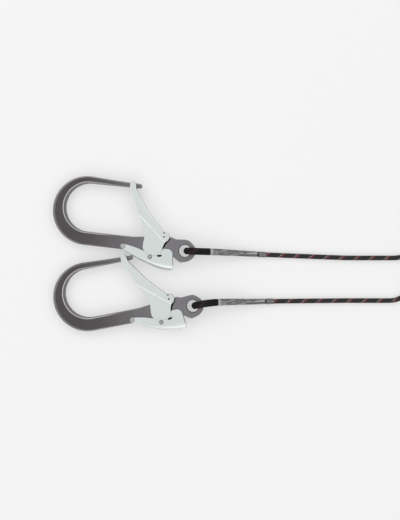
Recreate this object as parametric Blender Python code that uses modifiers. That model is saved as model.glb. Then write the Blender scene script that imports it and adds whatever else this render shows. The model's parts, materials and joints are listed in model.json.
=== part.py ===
"""Twin-leg energy-absorbing lanyard: two large snap hooks, two rope legs, an absorber and a connector.

The lanyard lies flat on the floor with its legs along +X. Units are metres and +Z is up.
Layout places are given in a drawing frame whose origin lies between the two hooks, and
ORIGIN moves them to the middle of the rigid pieces.
"""

import math

import bmesh
import bpy
from mathutils import Matrix, Vector

MM = 0.001
GAP = 0.3 * MM  # between pieces that touch

# Layout on the floor, in the drawing frame
ORIGIN = Vector((367.9 * MM, 10.4 * MM, 0.0))
UPPER_EYE = (-25.0 * MM, 15.1 * MM)
UPPER_YAW = math.radians(-6.6)
LOWER_EYE = (-11.8 * MM, -76.0 * MM)
LOWER_YAW = math.radians(10.9)

# Hook body, in the hook's own frame: the eye's centre is the origin and the bow lies at -X
EYE_R = 9.8 * MM
RING_R = 18.5 * MM
RING_HALF = 5.0 * MM
SPINE_TOP = 13.3 * MM
SPINE_LOW = -9.2 * MM
SPINE_HALF = 6.0 * MM
BOW_OUT_X = -168.5 * MM
BOW_OUT_R = 57.0 * MM
BOW_IN_X = -164.5 * MM
BOW_IN_R = 40.0 * MM
NOSE_X = -82.6 * MM
NOSE_W = 7.2 * MM
NOSE_RISE = 1.0 * MM
NECK_CHAMFER = 0.8 * MM
EYE_FLARE = 1.4 * MM

# Gate and palm lever
GATE_PIVOT = Vector((-36.3 * MM, 18.7 * MM))
LEVER_PIVOT = Vector((-102.2 * MM, -4.0 * MM))
LOCK_PIN = Vector((-55.9 * MM, -16.4 * MM))
SHEET = 1.7 * MM
ARM_STEP = 1.0 * MM
BOSS_R = 8.6 * MM
LUG_R = 7.6 * MM
GATE_OPEN = math.radians(45.0)
LEVER_PRESS = math.radians(5.0)
GATE_RIVET_R = 3.0 * MM
GATE_HEAD_R = 4.2 * MM
LEVER_RIVET_R = 2.3 * MM
LEVER_HEAD_R = 3.5 * MM
HEAD_T = 0.9 * MM
LOCK_PIN_R = 2.2 * MM
LOCK_HEAD_R = 3.5 * MM
LOCK_STUB_R = 1.8 * MM
CAM_DEPTH = 1.0 * MM
SPRING_WIRE_R = 0.6 * MM

# The layers of the hook, each measured out from its middle plane
LEVER_IN = SPINE_HALF + GAP
LEVER_OUT = LEVER_IN + SHEET
PLATE_IN = LEVER_OUT + 0.4 * MM
PLATE_OUT = PLATE_IN + SHEET
ARM_OUT = PLATE_OUT + ARM_STEP
BOW_HALF = PLATE_IN - 0.5 * MM
NOSE_HALF = BOW_HALF - 1.0 * MM
BOW_OUT_C = Vector((BOW_OUT_X, SPINE_LOW + BOW_OUT_R))
BOW_IN_C = Vector((BOW_IN_X, SPINE_TOP + BOW_IN_R))
NOSE_LOW = SPINE_TOP + 2.0 * BOW_IN_R + NOSE_RISE
HEAD = Vector((NOSE_X - 14.4 * MM, NOSE_LOW + 0.5 * NOSE_W))

# Rope legs and their ends
ROPE_D = 8.0 * MM
LOOP_D = 11.5 * MM
LOOP_LENGTH = 41.0 * MM
SLEEVE_LENGTH = 79.0 * MM
END_SLEEVE_LENGTH = 60.0 * MM
SLEEVE_WALL = 0.6 * MM
CLEAR_LENGTH = 12.0 * MM
CLEAR_WALL = 0.7 * MM
COIL_X = 402.0 * MM
COIL_APART = 72.0 * MM
COIL_R = 52.3 * MM
COIL_PITCH = 8.15 * MM
COIL_LIFT = 1.6 * MM
COIL_TURNS = 2
UPPER_BEND = (321.0 * MM, 60.0 * MM)  # where the leg bends toward its coil, and how wide
LOWER_BEND = (315.0 * MM, -40.0 * MM)
TIE_WIDTH = 16.0 * MM
TIE_T = 1.2 * MM

# Absorber and harness connector
LINK_X = 620.0 * MM
LINK_R = 32.0 * MM
LINK_WIRE_R = 4.0 * MM
LINK_ANGLE = math.radians(17.0)
WEB_WIDTH = 25.0 * MM
WEB_AT_LINK = 22.0 * MM
WEB_AT_CONNECTOR = 15.0 * MM
WEB_T = 2.6 * MM
WEB_NECK = 22.0 * MM
COVER_LENGTH = 170.0 * MM
COVER_WIDTH = 48.0 * MM
COVER_WALL = 2.4 * MM
COVER_ROUND = 6.0 * MM
PACK_LENGTH = 140.0 * MM
PACK_WIDTH = 36.0 * MM
PACK_T = 21.0 * MM
LINK_TO_COVER = 26.0 * MM
COVER_TO_CONNECTOR = 27.0 * MM
ROD_R = 5.0 * MM
SMALL_END_R = 18.0 * MM
BIG_END_R = 26.0 * MM
CONNECTOR_LENGTH = 100.0 * MM
KNUCKLE_R = 5.6 * MM
TONGUE_HALF = 2.0 * MM
CONNECTOR_RIVET_R = 1.5 * MM
SCREW_SLEEVE_LENGTH = 20.0 * MM
SCREW_SLEEVE_WALL = 1.7 * MM
SCREW_TRAVEL = 13.0 * MM
SCREW_LAP = 4.0 * MM
HINGE_INSET = 4.0 * MM
NOSE_INSET = 6.0 * MM
NOSE_GAP = 1.0 * MM

# Heights that follow from what lies under what
EYE_Z = RING_HALF + GAP + LOOP_D
LINK_Z = LINK_WIRE_R + GAP + LOOP_D
BOW_REACH = BOW_OUT_R - BOW_OUT_X - 3.5 * MM
HOOK_PITCH = math.asin((EYE_Z - BOW_HALF) / BOW_REACH)
MID_Y = ORIGIN.y
COVER_HALF = LINK_Z


def clear_scene():
    for obj in list(bpy.data.objects):
        bpy.data.objects.remove(obj, do_unlink=True)


def new_collection(name):
    made = bpy.data.collections.new(name)
    bpy.context.scene.collection.children.link(made)
    return made


clear_scene()
PARTS = new_collection("twin_lanyard")
HELPERS = new_collection("cutters")


def principled(name, color, roughness, metallic=0.0, alpha=1.0):
    made = bpy.data.materials.new(name)
    made.use_nodes = True
    shader = made.node_tree.nodes["Principled BSDF"]
    shader.inputs["Base Color"].default_value = (*color, 1.0)
    shader.inputs["Roughness"].default_value = roughness
    shader.inputs["Metallic"].default_value = metallic
    shader.inputs["Alpha"].default_value = alpha
    made.diffuse_color = (*color, alpha)
    return made


FINISH = {
    "forged_body": principled("forged_body", (0.15, 0.14, 0.145), 0.42, 0.85),
    "white_sheet": principled("white_sheet", (0.68, 0.71, 0.70), 0.35, 0.6),
    "steel": principled("steel", (0.55, 0.56, 0.57), 0.3, 1.0),
    "spring_steel": principled("spring_steel", (0.35, 0.35, 0.36), 0.35, 1.0),
    "black_cover": principled("black_cover", (0.012, 0.011, 0.012), 0.85),
    "grey_sleeve": principled("grey_sleeve", (0.13, 0.13, 0.13), 0.3),
    "clear_sleeve": principled("clear_sleeve", (0.4, 0.4, 0.4), 0.15, 0.0, 0.5),
    "rope": principled("rope", (0.03, 0.028, 0.028), 0.9),
    "webbing": principled("webbing", (0.03, 0.03, 0.032), 0.85),
    "tear_webbing": principled("tear_webbing", (0.55, 0.5, 0.4), 0.85),
    "connector": principled("connector", (0.42, 0.43, 0.45), 0.3, 1.0),
}


def helper_object(name, mesh):
    """An object that only serves to make others, kept out of the finished parts."""
    made = bpy.data.objects.new("make_" + name, mesh)
    HELPERS.objects.link(made)
    made.hide_render = True
    made.display_type = "WIRE"
    return made


def baked(obj):
    """The object's evaluated mesh with its loose caps welded."""
    graph = bpy.context.evaluated_depsgraph_get()
    mesh = bpy.data.meshes.new_from_object(obj.evaluated_get(graph))
    cleaner = bmesh.new()
    cleaner.from_mesh(mesh)
    bmesh.ops.remove_doubles(cleaner, verts=cleaner.verts, dist=1e-6)
    cleaner.to_mesh(mesh)
    cleaner.free()
    return mesh


def combine(solid, operation, *others):
    """Apply one Boolean for each other object, and drop those objects."""
    for other in others:
        modifier = solid.modifiers.new(operation, "BOOLEAN")
        modifier.operation = operation
        modifier.solver = "EXACT"
        modifier.object = other
        solid.data = baked(solid)
        solid.modifiers.clear()
        bpy.data.objects.remove(other)
    return solid


def cut(solid, *cutters):
    return combine(solid, "DIFFERENCE", *cutters)


def join(solid, *others):
    return combine(solid, "UNION", *others)


def arc(centre, radius, start, end, steps):
    """Points on a round stretch, from start to end in degrees."""
    turns = [math.radians(start + (end - start) * k / steps) for k in range(steps + 1)]
    return [Vector((centre[0] + radius * math.cos(a), centre[1] + radius * math.sin(a))) for a in turns]


def mm_points(origin, points):
    """Outline points written in millimetres from a named place."""
    return [Vector((origin[0] + x * MM, origin[1] + y * MM)) for x, y in points]


def parallel(points, distance):
    """The line beside a row of points, to its left for a positive distance."""
    made = []
    for k, point in enumerate(points):
        before = (point - points[k - 1]).normalized() if k else None
        after = (points[k + 1] - point).normalized() if k + 1 < len(points) else None
        along = ((before or after) + (after or before)).normalized()
        stretch = 1.0 / max(0.5, along.dot(after or before))
        made.append(point + Vector((-along.y, along.x)) * distance * stretch)
    return made


def plate(name, outline, low, high, chamfer=0.0):
    """A flat outline between two heights, its edges cut off by the chamfer."""
    curve = bpy.data.curves.new(name, "CURVE")
    curve.dimensions = "2D"
    curve.fill_mode = "BOTH"
    curve.extrude = 0.5 * (high - low) - chamfer
    curve.bevel_depth = chamfer
    curve.bevel_resolution = 0
    curve.offset = -chamfer
    spline = curve.splines.new("POLY")
    spline.points.add(len(outline) - 1)
    for point, place in zip(spline.points, outline):
        point.co = (place[0], place[1], 0.0, 1.0)
    spline.use_cyclic_u = True
    flat = bpy.data.objects.new("make_" + name, curve)
    HELPERS.objects.link(flat)
    mesh = baked(flat)
    bpy.data.objects.remove(flat)
    mesh.transform(Matrix.Translation((0.0, 0.0, 0.5 * (low + high))))
    return outward(helper_object(name, mesh))


def outward(obj):
    """Turn the faces of a closed mesh outward."""
    shape = bmesh.new()
    shape.from_mesh(obj.data)
    bmesh.ops.recalc_face_normals(shape, faces=shape.faces)
    if shape.calc_volume(signed=True) < 0.0:
        bmesh.ops.reverse_faces(shape, faces=shape.faces)
    shape.to_mesh(obj.data)
    shape.free()
    return obj


def cylinder(name, centre, radius, low, high, top_radius=None, sides=32):
    """An upright cylinder or cone between two heights."""
    shape = bmesh.new()
    bmesh.ops.create_cone(
        shape,
        cap_ends=True,
        segments=sides,
        radius1=radius,
        radius2=radius if top_radius is None else top_radius,
        depth=high - low,
        matrix=Matrix.Translation((centre[0], centre[1], 0.5 * (low + high))),
    )
    mesh = bpy.data.meshes.new(name)
    shape.to_mesh(mesh)
    shape.free()
    return helper_object(name, mesh)


def box(name, low, high):
    shape = bmesh.new()
    low, high = Vector(low), Vector(high)
    size = high - low
    place = Matrix.Translation(0.5 * (low + high)) @ Matrix.Diagonal((*size, 1.0))
    bmesh.ops.create_cube(shape, size=1.0, matrix=place)
    mesh = bpy.data.meshes.new(name)
    shape.to_mesh(mesh)
    shape.free()
    return helper_object(name, mesh)


def turned(name, profile, sides=24):
    """A turned piece from its half profile of (radius, height), first point at the top."""
    mesh = bpy.data.meshes.new(name)
    mesh.from_pydata([(r, 0.0, z) for r, z in profile], [(k, k + 1) for k in range(len(profile) - 1)], [])
    solid = helper_object(name, mesh)
    screw = solid.modifiers.new("turn", "SCREW")
    screw.steps = screw.render_steps = sides
    screw.use_merge_vertices = True
    screw.merge_threshold = 1e-6
    solid.data = baked(solid)
    solid.modifiers.clear()
    return outward(solid)


def loft(name, rings):
    """A closed skin through rings of as many points each, with a flat face on either end."""
    count = len(rings[0])
    points = [point for ring in rings for point in ring]
    faces = [tuple(range(count - 1, -1, -1))]
    for k in range(len(rings) - 1):
        for j in range(count):
            n = (j + 1) % count
            faces.append((k * count + j, k * count + n, (k + 1) * count + n, (k + 1) * count + j))
    faces.append(tuple(range((len(rings) - 1) * count, len(rings) * count)))
    mesh = bpy.data.meshes.new(name)
    mesh.from_pydata(points, [], faces)
    return outward(helper_object(name, mesh))


def finish(name, mesh, finish_name, frame):
    """One named piece: its mesh, material and place."""
    made = bpy.data.objects.new(name, mesh)
    PARTS.objects.link(made)
    if not mesh.materials:
        mesh.materials.append(FINISH[finish_name])
    made.matrix_world = frame
    if isinstance(mesh, bpy.types.Mesh):
        mesh.shade_smooth()
        mesh.set_sharp_from_angle(angle=math.radians(35.0))
    return made


def tube(name, points, radius, resolution=2):
    """Curve data for a round tube through the points, with filled ends."""
    curve = bpy.data.curves.new(name, "CURVE")
    curve.dimensions = "3D"
    curve.bevel_depth = radius
    curve.bevel_resolution = resolution
    curve.use_fill_caps = True
    spline = curve.splines.new("POLY")
    spline.points.add(len(points) - 1)
    for point, place in zip(spline.points, points):
        point.co = (*place, 1.0)
    return curve


def smooth_line(points, per_span):
    """Points on a smooth curve through the given ones."""
    ends = [2.0 * points[0] - points[1], *points, 2.0 * points[-1] - points[-2]]
    line = []
    for k in range(1, len(ends) - 2):
        a, b, c, d = ends[k - 1 : k + 3]
        for j in range(per_span):
            t = j / per_span
            line.append(
                0.5
                * (
                    2.0 * b
                    + (c - a) * t
                    + (2.0 * a - 5.0 * b + 4.0 * c - d) * t**2
                    + (3.0 * b - a - 3.0 * c + d) * t**3
                )
            )
    return [*line, points[-1]]


def spaced(line, step):
    """The line again, its points a step apart."""
    total = sum((b - a).length for a, b in zip(line, line[1:]))
    count = max(2, round(total / step))
    made, walked, target = [line[0]], 0.0, total / count
    for a, b in zip(line, line[1:]):
        span = (b - a).length
        while walked + span >= target - 1e-9 and len(made) < count:
            made.append(a.lerp(b, (target - walked) / span))
            target += total / count
        walked += span
    return [*made, line[-1]]


def stretch_of(line, start, end):
    """The part of a line between two distances along it."""
    made, walked = [], 0.0
    for a, b in zip(line, line[1:]):
        span = (b - a).length
        if walked <= start < walked + span:
            made.append(a.lerp(b, (start - walked) / span))
        if start < walked + span < end:
            made.append(b)
        if walked < end <= walked + span:
            made.append(a.lerp(b, (end - walked) / span))
        walked += span
    return made


def length_of(line):
    return sum((b - a).length for a, b in zip(line, line[1:]))


# Hook body


def bar_section(outer, inner, half, chamfer_out, chamfer_in, edge):
    """An eight-sided section of the forged bar between its outer and inner edge."""
    across = (outer - inner).normalized()
    out_flat, in_flat = outer - across * chamfer_out, inner + across * chamfer_in
    side = [(out_flat, half), (outer, half - edge), (outer, edge - half), (out_flat, -half)]
    side += [(in_flat, -half), (inner, edge - half), (inner, half - edge), (in_flat, half)]
    return [Vector((point.x, point.y, z)) for point, z in side]


def bar_sections():
    """The hook's bar, from the nose round the bow and along the spine to the neck."""
    nose_mid = NOSE_LOW + 0.5 * NOSE_W
    arm_top, arm_low = BOW_OUT_C.y + BOW_OUT_R, BOW_IN_C.y + BOW_IN_R
    sections = []
    for back, share in ((0.0, 0.45), (1.2, 0.78), (3.4, 1.0)):
        x = NOSE_X - back * MM
        rise = 0.5 * NOSE_W * share
        outer, inner = Vector((x, nose_mid + rise)), Vector((x, nose_mid - rise))
        edge = 2.2 * MM * share
        sections.append(bar_section(outer, inner, NOSE_HALF * (0.75 + 0.25 * share), edge, edge, edge))
    for share in (0.25, 0.5, 0.75):
        x = NOSE_X + (BOW_IN_X - NOSE_X) * share
        bend = share**1.6
        outer = Vector((x, nose_mid + 0.5 * NOSE_W + (arm_top - nose_mid - 0.5 * NOSE_W) * bend))
        inner = Vector((x, NOSE_LOW + (arm_low - NOSE_LOW) * share))
        half = NOSE_HALF + (BOW_HALF - NOSE_HALF) * share
        sections.append(bar_section(outer, inner, half, 2.3 * MM, 2.3 * MM, 2.2 * MM))
    steps = 16
    for k, (outer, inner) in enumerate(
        zip(arc(BOW_OUT_C, BOW_OUT_R, 90, 270, steps), arc(BOW_IN_C, BOW_IN_R, 90, 270, steps))
    ):
        fade = math.sin(math.pi * k / steps)
        chamfer = (2.3 + 2.2 * fade) * MM
        sections.append(bar_section(outer, inner, BOW_HALF, chamfer, chamfer, (2.2 + fade) * MM))
    thin = BOW_IN_X + 45.0 * MM
    for x, half, lift in (
        (BOW_IN_X + 20.0 * MM, 0.5 * (BOW_HALF + SPINE_HALF), 0.0),
        (thin, SPINE_HALF, 0.0),
        (-87.0 * MM, SPINE_HALF, 0.0),
        (-69.0 * MM, SPINE_HALF, 2.2 * MM),
        (GATE_PIVOT.x - LUG_R, SPINE_HALF, 2.8 * MM),
        (GATE_PIVOT.x + 4.0 * MM, SPINE_HALF, -6.0 * MM),
    ):
        outer, inner = Vector((x, SPINE_LOW)), Vector((x, SPINE_TOP + lift))
        sections.append(bar_section(outer, inner, half, 1.5 * MM, 1.5 * MM, 1.5 * MM))
    return sections


def hook_body_mesh():
    body = loft("hook_body", bar_sections())
    ring_corner = mm_points((0.0, 0.0), [(-17.6, -12.2), (-5.2, -20.3)])
    ring = [*ring_corner, *arc((0.0, 0.0), RING_R, -88, 90, 20), Vector((-17.0 * MM, 17.3 * MM))]
    ring += mm_points((0.0, 0.0), [(-24.0, 12.0), (-24.0, -4.0)])
    neck = mm_points((0.0, 0.0), [(-17.9, -11.8), (-14.6, -7.0), (-15.4, 0.0), (-14.2, 7.0)])
    neck += mm_points((0.0, 0.0), [(-11.5, 12.0), (-14.5, 17.5), (-18.5, 17.9), (-25.0, 20.5)])
    neck += [Vector((GATE_PIVOT.x, 0.5 * SPINE_TOP)), Vector((GATE_PIVOT.x, SPINE_LOW + 1.0 * MM))]
    join(
        body,
        plate("ring", ring, -RING_HALF, RING_HALF, NECK_CHAMFER),
        plate("neck", neck, -SPINE_HALF, SPINE_HALF, NECK_CHAMFER),
        cylinder("lug", GATE_PIVOT, LUG_R, -SPINE_HALF, SPINE_HALF),
    )
    groove = mm_points(GATE_PIVOT, [(6.5, 5.5), (11.6, 4.6), (10.0, -3.4), (6.7, -8.0), (3.7, -12.7)])
    groove += mm_points(GATE_PIVOT, [(1.6, -18.4), (-1.4, -18.4), (0.2, -9.5), (6.5, -5.5), (7.9, 0.0)])
    deep = SPINE_HALF - 2.6 * MM
    top = SPINE_HALF + 1.0 * MM
    flare = EYE_FLARE + 1.0 * MM
    cut(
        body,
        plate("groove_top", groove, deep, top),
        plate("groove_under", groove, -top, -deep),
        cylinder("eye", (0.0, 0.0), EYE_R, -top, top, sides=40),
        cylinder("flare_top", (0, 0), EYE_R, RING_HALF - EYE_FLARE, RING_HALF + 1.0 * MM, EYE_R + flare, 40),
        cylinder("flare_low", (0, 0), EYE_R + flare, -RING_HALF - 1.0 * MM, EYE_FLARE - RING_HALF, EYE_R, 40),
        cylinder("gate_hole", GATE_PIVOT, GATE_RIVET_R + GAP, -top, top),
        cylinder("lever_hole", LEVER_PIVOT, LEVER_RIVET_R + GAP, -top, top, sides=24),
    )
    return body.data


# Gate


def turn_about(point, pivot, angle):
    rel = point - pivot
    c, s = math.cos(angle), math.sin(angle)
    return pivot + Vector((rel.x * c - rel.y * s, rel.x * s + rel.y * c))


def cam_outline():
    """The groove that the lock pin's stub follows in the gate while both turn."""
    steps = 10
    path = []
    for k in range(-1, steps + 2):
        share = k / steps
        pin = turn_about(LOCK_PIN, LEVER_PIVOT, LEVER_PRESS * share)
        path.append(turn_about(pin, GATE_PIVOT, -GATE_OPEN * share))
    half = LOCK_STUB_R + 0.4 * MM
    return [*parallel(path, half), *reversed(parallel(path, -half))]


def gate_mesh():
    outer_edge = [*mm_points(GATE_PIVOT, [(-2.1, 8.5), (-26.4, 33.6)]), HEAD + Vector((6.7, -7.8)) * MM]
    head = mm_points(HEAD, [(5.4, -2.0), (4.5, 3.0), (2.0, 7.0), (-1.2, 8.3), (-3.5, 6.5), (-5.2, 1.0)])
    inner_edge = [HEAD + Vector((-4.8, -4.8)) * MM, *mm_points(GATE_PIVOT, [(-52.0, 46.4), (-45.2, 30.6)])]
    boss = arc(GATE_PIVOT, BOSS_R, -55, 100, 12)
    arm = [*boss, *outer_edge, *head, *inner_edge, *mm_points(GATE_PIVOT, [(1.7, -9.6)])]
    side = [(-44.4, 29.4), (-42.3, 25.8), (-39.3, 19.7), (-36.4, 12.6), (-34.7, 6.8), (-32.7, 4.9)]
    side += [(-32.1, -2.4), (-32.8, -9.6), (-33.5, -15.3), (-33.2, -21.0), (-31.5, -25.3), (-25.7, -28.6)]
    side += [(-19.7, -30.7), (-13.7, -31.6), (-8.2, -30.9), (-4.2, -28.0), (-1.9, -24.2), (-1.1, -20.2)]
    side += [(-0.7, -17.9), (0.4, -13.8), (1.4, -11.3), (3.3, -6.7), (-8.7, 6.3), (-23.7, 23.3)]
    gate = plate("gate", arm, -ARM_OUT, ARM_OUT, 0.6 * MM)
    join(gate, plate("cheek", mm_points(GATE_PIVOT, side), -PLATE_OUT, PLATE_OUT, 0.4 * MM))
    web = parallel(outer_edge, SHEET)
    web_end = Vector((web[-1].x - 1.4 * MM, NOSE_LOW - 0.6 * MM))
    far, near = GATE_PIVOT.x - 95.0 * MM, GATE_PIVOT.x + 15.0 * MM
    channel = [*web, web_end, Vector((NOSE_X + 6.0 * MM, web_end.y))]
    channel += [Vector((NOSE_X + 6.0 * MM, HEAD.y + 14.0 * MM)), Vector((far, HEAD.y + 14.0 * MM))]
    channel += [Vector((far, GATE_PIVOT.y - 50.0 * MM)), Vector((near, GATE_PIVOT.y - 50.0 * MM))]
    channel += [Vector((near, GATE_PIVOT.y + 12.0 * MM)), *mm_points(GATE_PIVOT, [(-0.6, 10.4)])]
    cam = cam_outline()
    cut(
        gate,
        plate("channel", channel, -PLATE_IN, PLATE_IN),
        cylinder("gate_bore", GATE_PIVOT, GATE_RIVET_R + GAP, -2.0 * ARM_OUT, 2.0 * ARM_OUT),
        plate("cam_top", cam, PLATE_IN - 1.0 * MM, PLATE_IN + CAM_DEPTH),
        plate("cam_under", cam, -PLATE_IN - CAM_DEPTH, 1.0 * MM - PLATE_IN),
    )
    return gate.data


# Palm lever


def lever_mesh():
    lower = [(4.2, -8.0), (11.6, -11.5), (23.1, -16.5), (40.2, -22.9), (53.1, -27.2), (61.6, -29.4)]
    lower += [(72.3, -30.9), (80.7, -30.9), (84.0, -29.6), (85.5, -27.0)]
    end = [(85.0, -22.0), (83.8, -12.6), (83.1, -6.1), (82.0, -0.4), (79.5, 2.8), (74.5, 4.0)]
    upper = [(69.2, 3.4), (65.9, 2.8), (63.7, 0.0), (57.2, -3.5), (44.2, -4.0), (32.3, -3.0)]
    upper += [(20.9, 0.4), (11.6, 2.3), (2.3, 3.8), (-1.2, 4.2), (-3.6, 2.6), (-4.5, -0.4), (-2.8, -3.8)]
    outline = mm_points(LEVER_PIVOT, [*lower, *end, *upper])
    lever = plate("lever", outline, -LEVER_OUT, LEVER_OUT, 0.5 * MM)
    web = parallel(mm_points(LEVER_PIVOT, [*lower[1:], end[0]]), SHEET)
    left = web[0].x + 1.0 * MM
    low_y, high_y = LEVER_PIVOT.y - 45.0 * MM, LEVER_PIVOT.y + 25.0 * MM
    far, near = LEVER_PIVOT.x - 20.0 * MM, LEVER_PIVOT.x + 100.0 * MM
    channel = [Vector((left, low_y)), Vector((left, web[0].y - 0.5 * MM)), *web[1:]]
    channel += [Vector((near, web[-1].y)), Vector((near, high_y)), Vector((far, high_y)), Vector((far, low_y))]
    pocket = LEVER_OUT - HEAD_T
    hole_r, pocket_r = LOCK_PIN_R + GAP, LOCK_HEAD_R + GAP
    slot = mm_points(LOCK_PIN, [(11.6, 1.9), (15.5, 2.0), (18.6, 3.2), (19.4, 5.4), (17.2, 5.2), (11.9, 3.9)])
    wide = 2.0 * LEVER_OUT
    cut(
        lever,
        plate("lever_channel", channel, -LEVER_IN, LEVER_IN),
        cylinder("lever_bore", LEVER_PIVOT, LEVER_RIVET_R + GAP, -wide, wide, sides=24),
        cylinder("lock_bore", LOCK_PIN, hole_r, -wide, wide, sides=24),
        cylinder("pocket_top", LOCK_PIN, pocket_r, pocket, wide, sides=24),
        cylinder("pocket_under", LOCK_PIN, pocket_r, -wide, -pocket, sides=24),
        plate("slot", slot, -wide, wide),
    )
    return lever.data


def pin_mesh(name, shaft_r, head_r, head_low, head_high, stub_r=0.0, stub_high=0.0):
    """A headed pin across the hook, the same on both sides of the middle plane."""
    half = [(shaft_r, 0.0), (shaft_r, head_low), (head_r, head_low), (head_r, head_high)]
    if stub_r:
        half += [(stub_r, head_high), (stub_r, stub_high)]
    else:
        dish = 0.35 * head_r
        half += [(dish, head_high), (0.6 * dish, head_high - 0.4 * (head_high - head_low))]
    half.append((0.0, half[-1][1]))
    profile = [(r, z) for r, z in reversed(half[1:])] + [(r, -z) for r, z in half[1:]]
    return turned(name, profile).data


def gate_spring_mesh():
    """A flat torsion spring beside the lug: a spiral with a leg along the gate and a short one on the spine."""
    inner_r = GATE_RIVET_R + 2.0 * GAP + SPRING_WIRE_R
    growth = 1.6 * MM
    turns = 1.25
    steps = 20
    height = SPINE_HALF + GAP + SPRING_WIRE_R
    outer_r = inner_r + growth * turns
    along = (HEAD - GATE_PIVOT).normalized()
    points = []
    for k in range(steps + 1):
        angle = math.atan2(along.y, along.x) - 0.5 * math.pi + 2.0 * math.pi * turns * (1.0 - k / steps)
        radius = outer_r - growth * turns * (1.0 - k / steps)
        points.append(Vector((radius * math.cos(angle), radius * math.sin(angle), height)))
    points.append(points[-1] + Vector((along.x, along.y, 0.0)) * 14.0 * MM)
    return tube("gate_spring", points, SPRING_WIRE_R, 1)


def lever_spring_mesh():
    """A bowed leaf inside the lever, between its web and the spine."""
    path = mm_points(LEVER_PIVOT, [(52.0, -23.6), (54.0, -18.6), (58.0, -14.0), (63.0, -12.2)])
    path += mm_points(LEVER_PIVOT, [(68.5, -13.2), (73.5, -17.5), (76.5, -23.0), (77.5, -27.5)])
    thick = 0.35 * MM
    outline = [*parallel(path, thick), *reversed(parallel(path, -thick))]
    return plate("lever_spring", outline, -3.5 * MM, 3.5 * MM).data


def washer_mesh():
    low, high = -PLATE_IN + GAP, -SPINE_HALF - GAP
    ring = cylinder("washer", (0.0, 0.0), LUG_R - 0.8 * MM, low, high, sides=28)
    return cut(ring, cylinder("hole", (0.0, 0.0), GATE_RIVET_R + GAP, low - MM, high + MM, sides=28)).data


def about(mesh, pivot):
    """The mesh moved so that the pivot is its origin."""
    mesh.transform(Matrix.Translation((-pivot.x, -pivot.y, 0.0)))
    return mesh


def hook_pieces():
    """Each piece of a hook as (mesh, finish, place of its origin), shared by both hooks."""
    gate_head, lever_head = ARM_OUT + GAP, LEVER_OUT + GAP
    gate_rivet = pin_mesh("gate_rivet", GATE_RIVET_R, GATE_HEAD_R, gate_head, gate_head + HEAD_T)
    lever_rivet = pin_mesh("lever_rivet", LEVER_RIVET_R, LEVER_HEAD_R, lever_head, lever_head + HEAD_T)
    lock_head, lock_end = LEVER_OUT - HEAD_T + GAP, PLATE_IN + CAM_DEPTH - GAP
    lock_pin = pin_mesh(
        "lock_pin", LOCK_PIN_R, LOCK_HEAD_R, lock_head, LEVER_OUT + 0.1 * MM, LOCK_STUB_R, lock_end
    )
    eye = Vector((0.0, 0.0))
    return {
        "body": (hook_body_mesh(), "forged_body", eye),
        "gate": (about(gate_mesh(), GATE_PIVOT), "white_sheet", GATE_PIVOT),
        "gate_rivet": (gate_rivet, "steel", GATE_PIVOT),
        "gate_washer": (washer_mesh(), "steel", GATE_PIVOT),
        "gate_spring": (gate_spring_mesh(), "spring_steel", GATE_PIVOT),
        "lever": (about(lever_mesh(), LEVER_PIVOT), "white_sheet", LEVER_PIVOT),
        "lever_rivet": (lever_rivet, "steel", LEVER_PIVOT),
        "lever_spring": (about(lever_spring_mesh(), LEVER_PIVOT), "spring_steel", LEVER_PIVOT),
        "lock_pin": (about(lock_pin, LEVER_PIVOT - LOCK_PIN), "steel", LEVER_PIVOT),
    }


def place_hook(side, eye, yaw, pieces):
    """One hook, its eye at the given place, tipped so that its bow rests on the floor."""
    root = bpy.data.objects.new(side + "_hook_frame", None)
    PARTS.objects.link(root)
    root.matrix_world = Matrix.Translation(Vector((*eye, EYE_Z)) - ORIGIN) @ tilt(yaw, -HOOK_PITCH)
    for piece, (mesh, finish_name, place) in pieces.items():
        frame = root.matrix_world @ Matrix.Translation((place.x, place.y, 0.0))
        made = finish(f"{side}_hook_{piece}", mesh, finish_name, frame)
        made.parent = root
        made.matrix_parent_inverse = root.matrix_world.inverted()


def tilt(yaw, pitch):
    return Matrix.Rotation(yaw, 4, "Z") @ Matrix.Rotation(pitch, 4, "Y")


# Rope ends: an eye loop that stands on edge round a rim, then a sleeve over the two strands


def upright_loop(centre_line, rim_in, rim_out, rim_half, radius, mouth, reach):
    """The middle line of a loop of the given strand radius round a rim, in a standing plane.

    The rim's section reaches from rim_in to rim_out along the centre line, and mouth is how
    far each strand lies from the centre line where the loop ends, at the distance reach.
    """
    away = radius + GAP
    side = [(distance, rim_half + away) for distance in (rim_out, 0.5 * (rim_in + rim_out))]
    corner = [(p.x, p.y) for p in arc((rim_in, rim_half), away, 90, 180, 5)]
    half = []
    for share in (1.0, 0.94, 0.72, 0.42, 0.18):
        distance = rim_out + (reach - rim_out) * share
        ease = share * share * (3.0 - 2.0 * share)
        half.append((distance, mouth + (rim_half + away - mouth) * (1.0 - ease)))
    half += side + corner
    path = half + [(distance, -off) for distance, off in reversed(half)]
    return [standing_point(centre_line, distance, off) for distance, off in path]


def standing_point(line, distance, off):
    """A point at a height off above the line at a distance along it, square to the line."""
    here = point_at(line, distance)
    ahead, behind = point_at(line, distance + MM), point_at(line, max(0.0, distance - MM))
    along = (ahead - behind).normalized()
    sideways = Vector((-along.y, along.x, 0.0)).normalized()
    return here + along.cross(sideways).normalized() * off


def point_at(line, distance):
    walked = 0.0
    for a, b in zip(line, line[1:]):
        span = (b - a).length
        if walked + span >= distance:
            return a.lerp(b, (distance - walked) / span)
        walked += span
    return line[-1] + (line[-1] - line[-2]).normalized() * (distance - walked)


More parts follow.
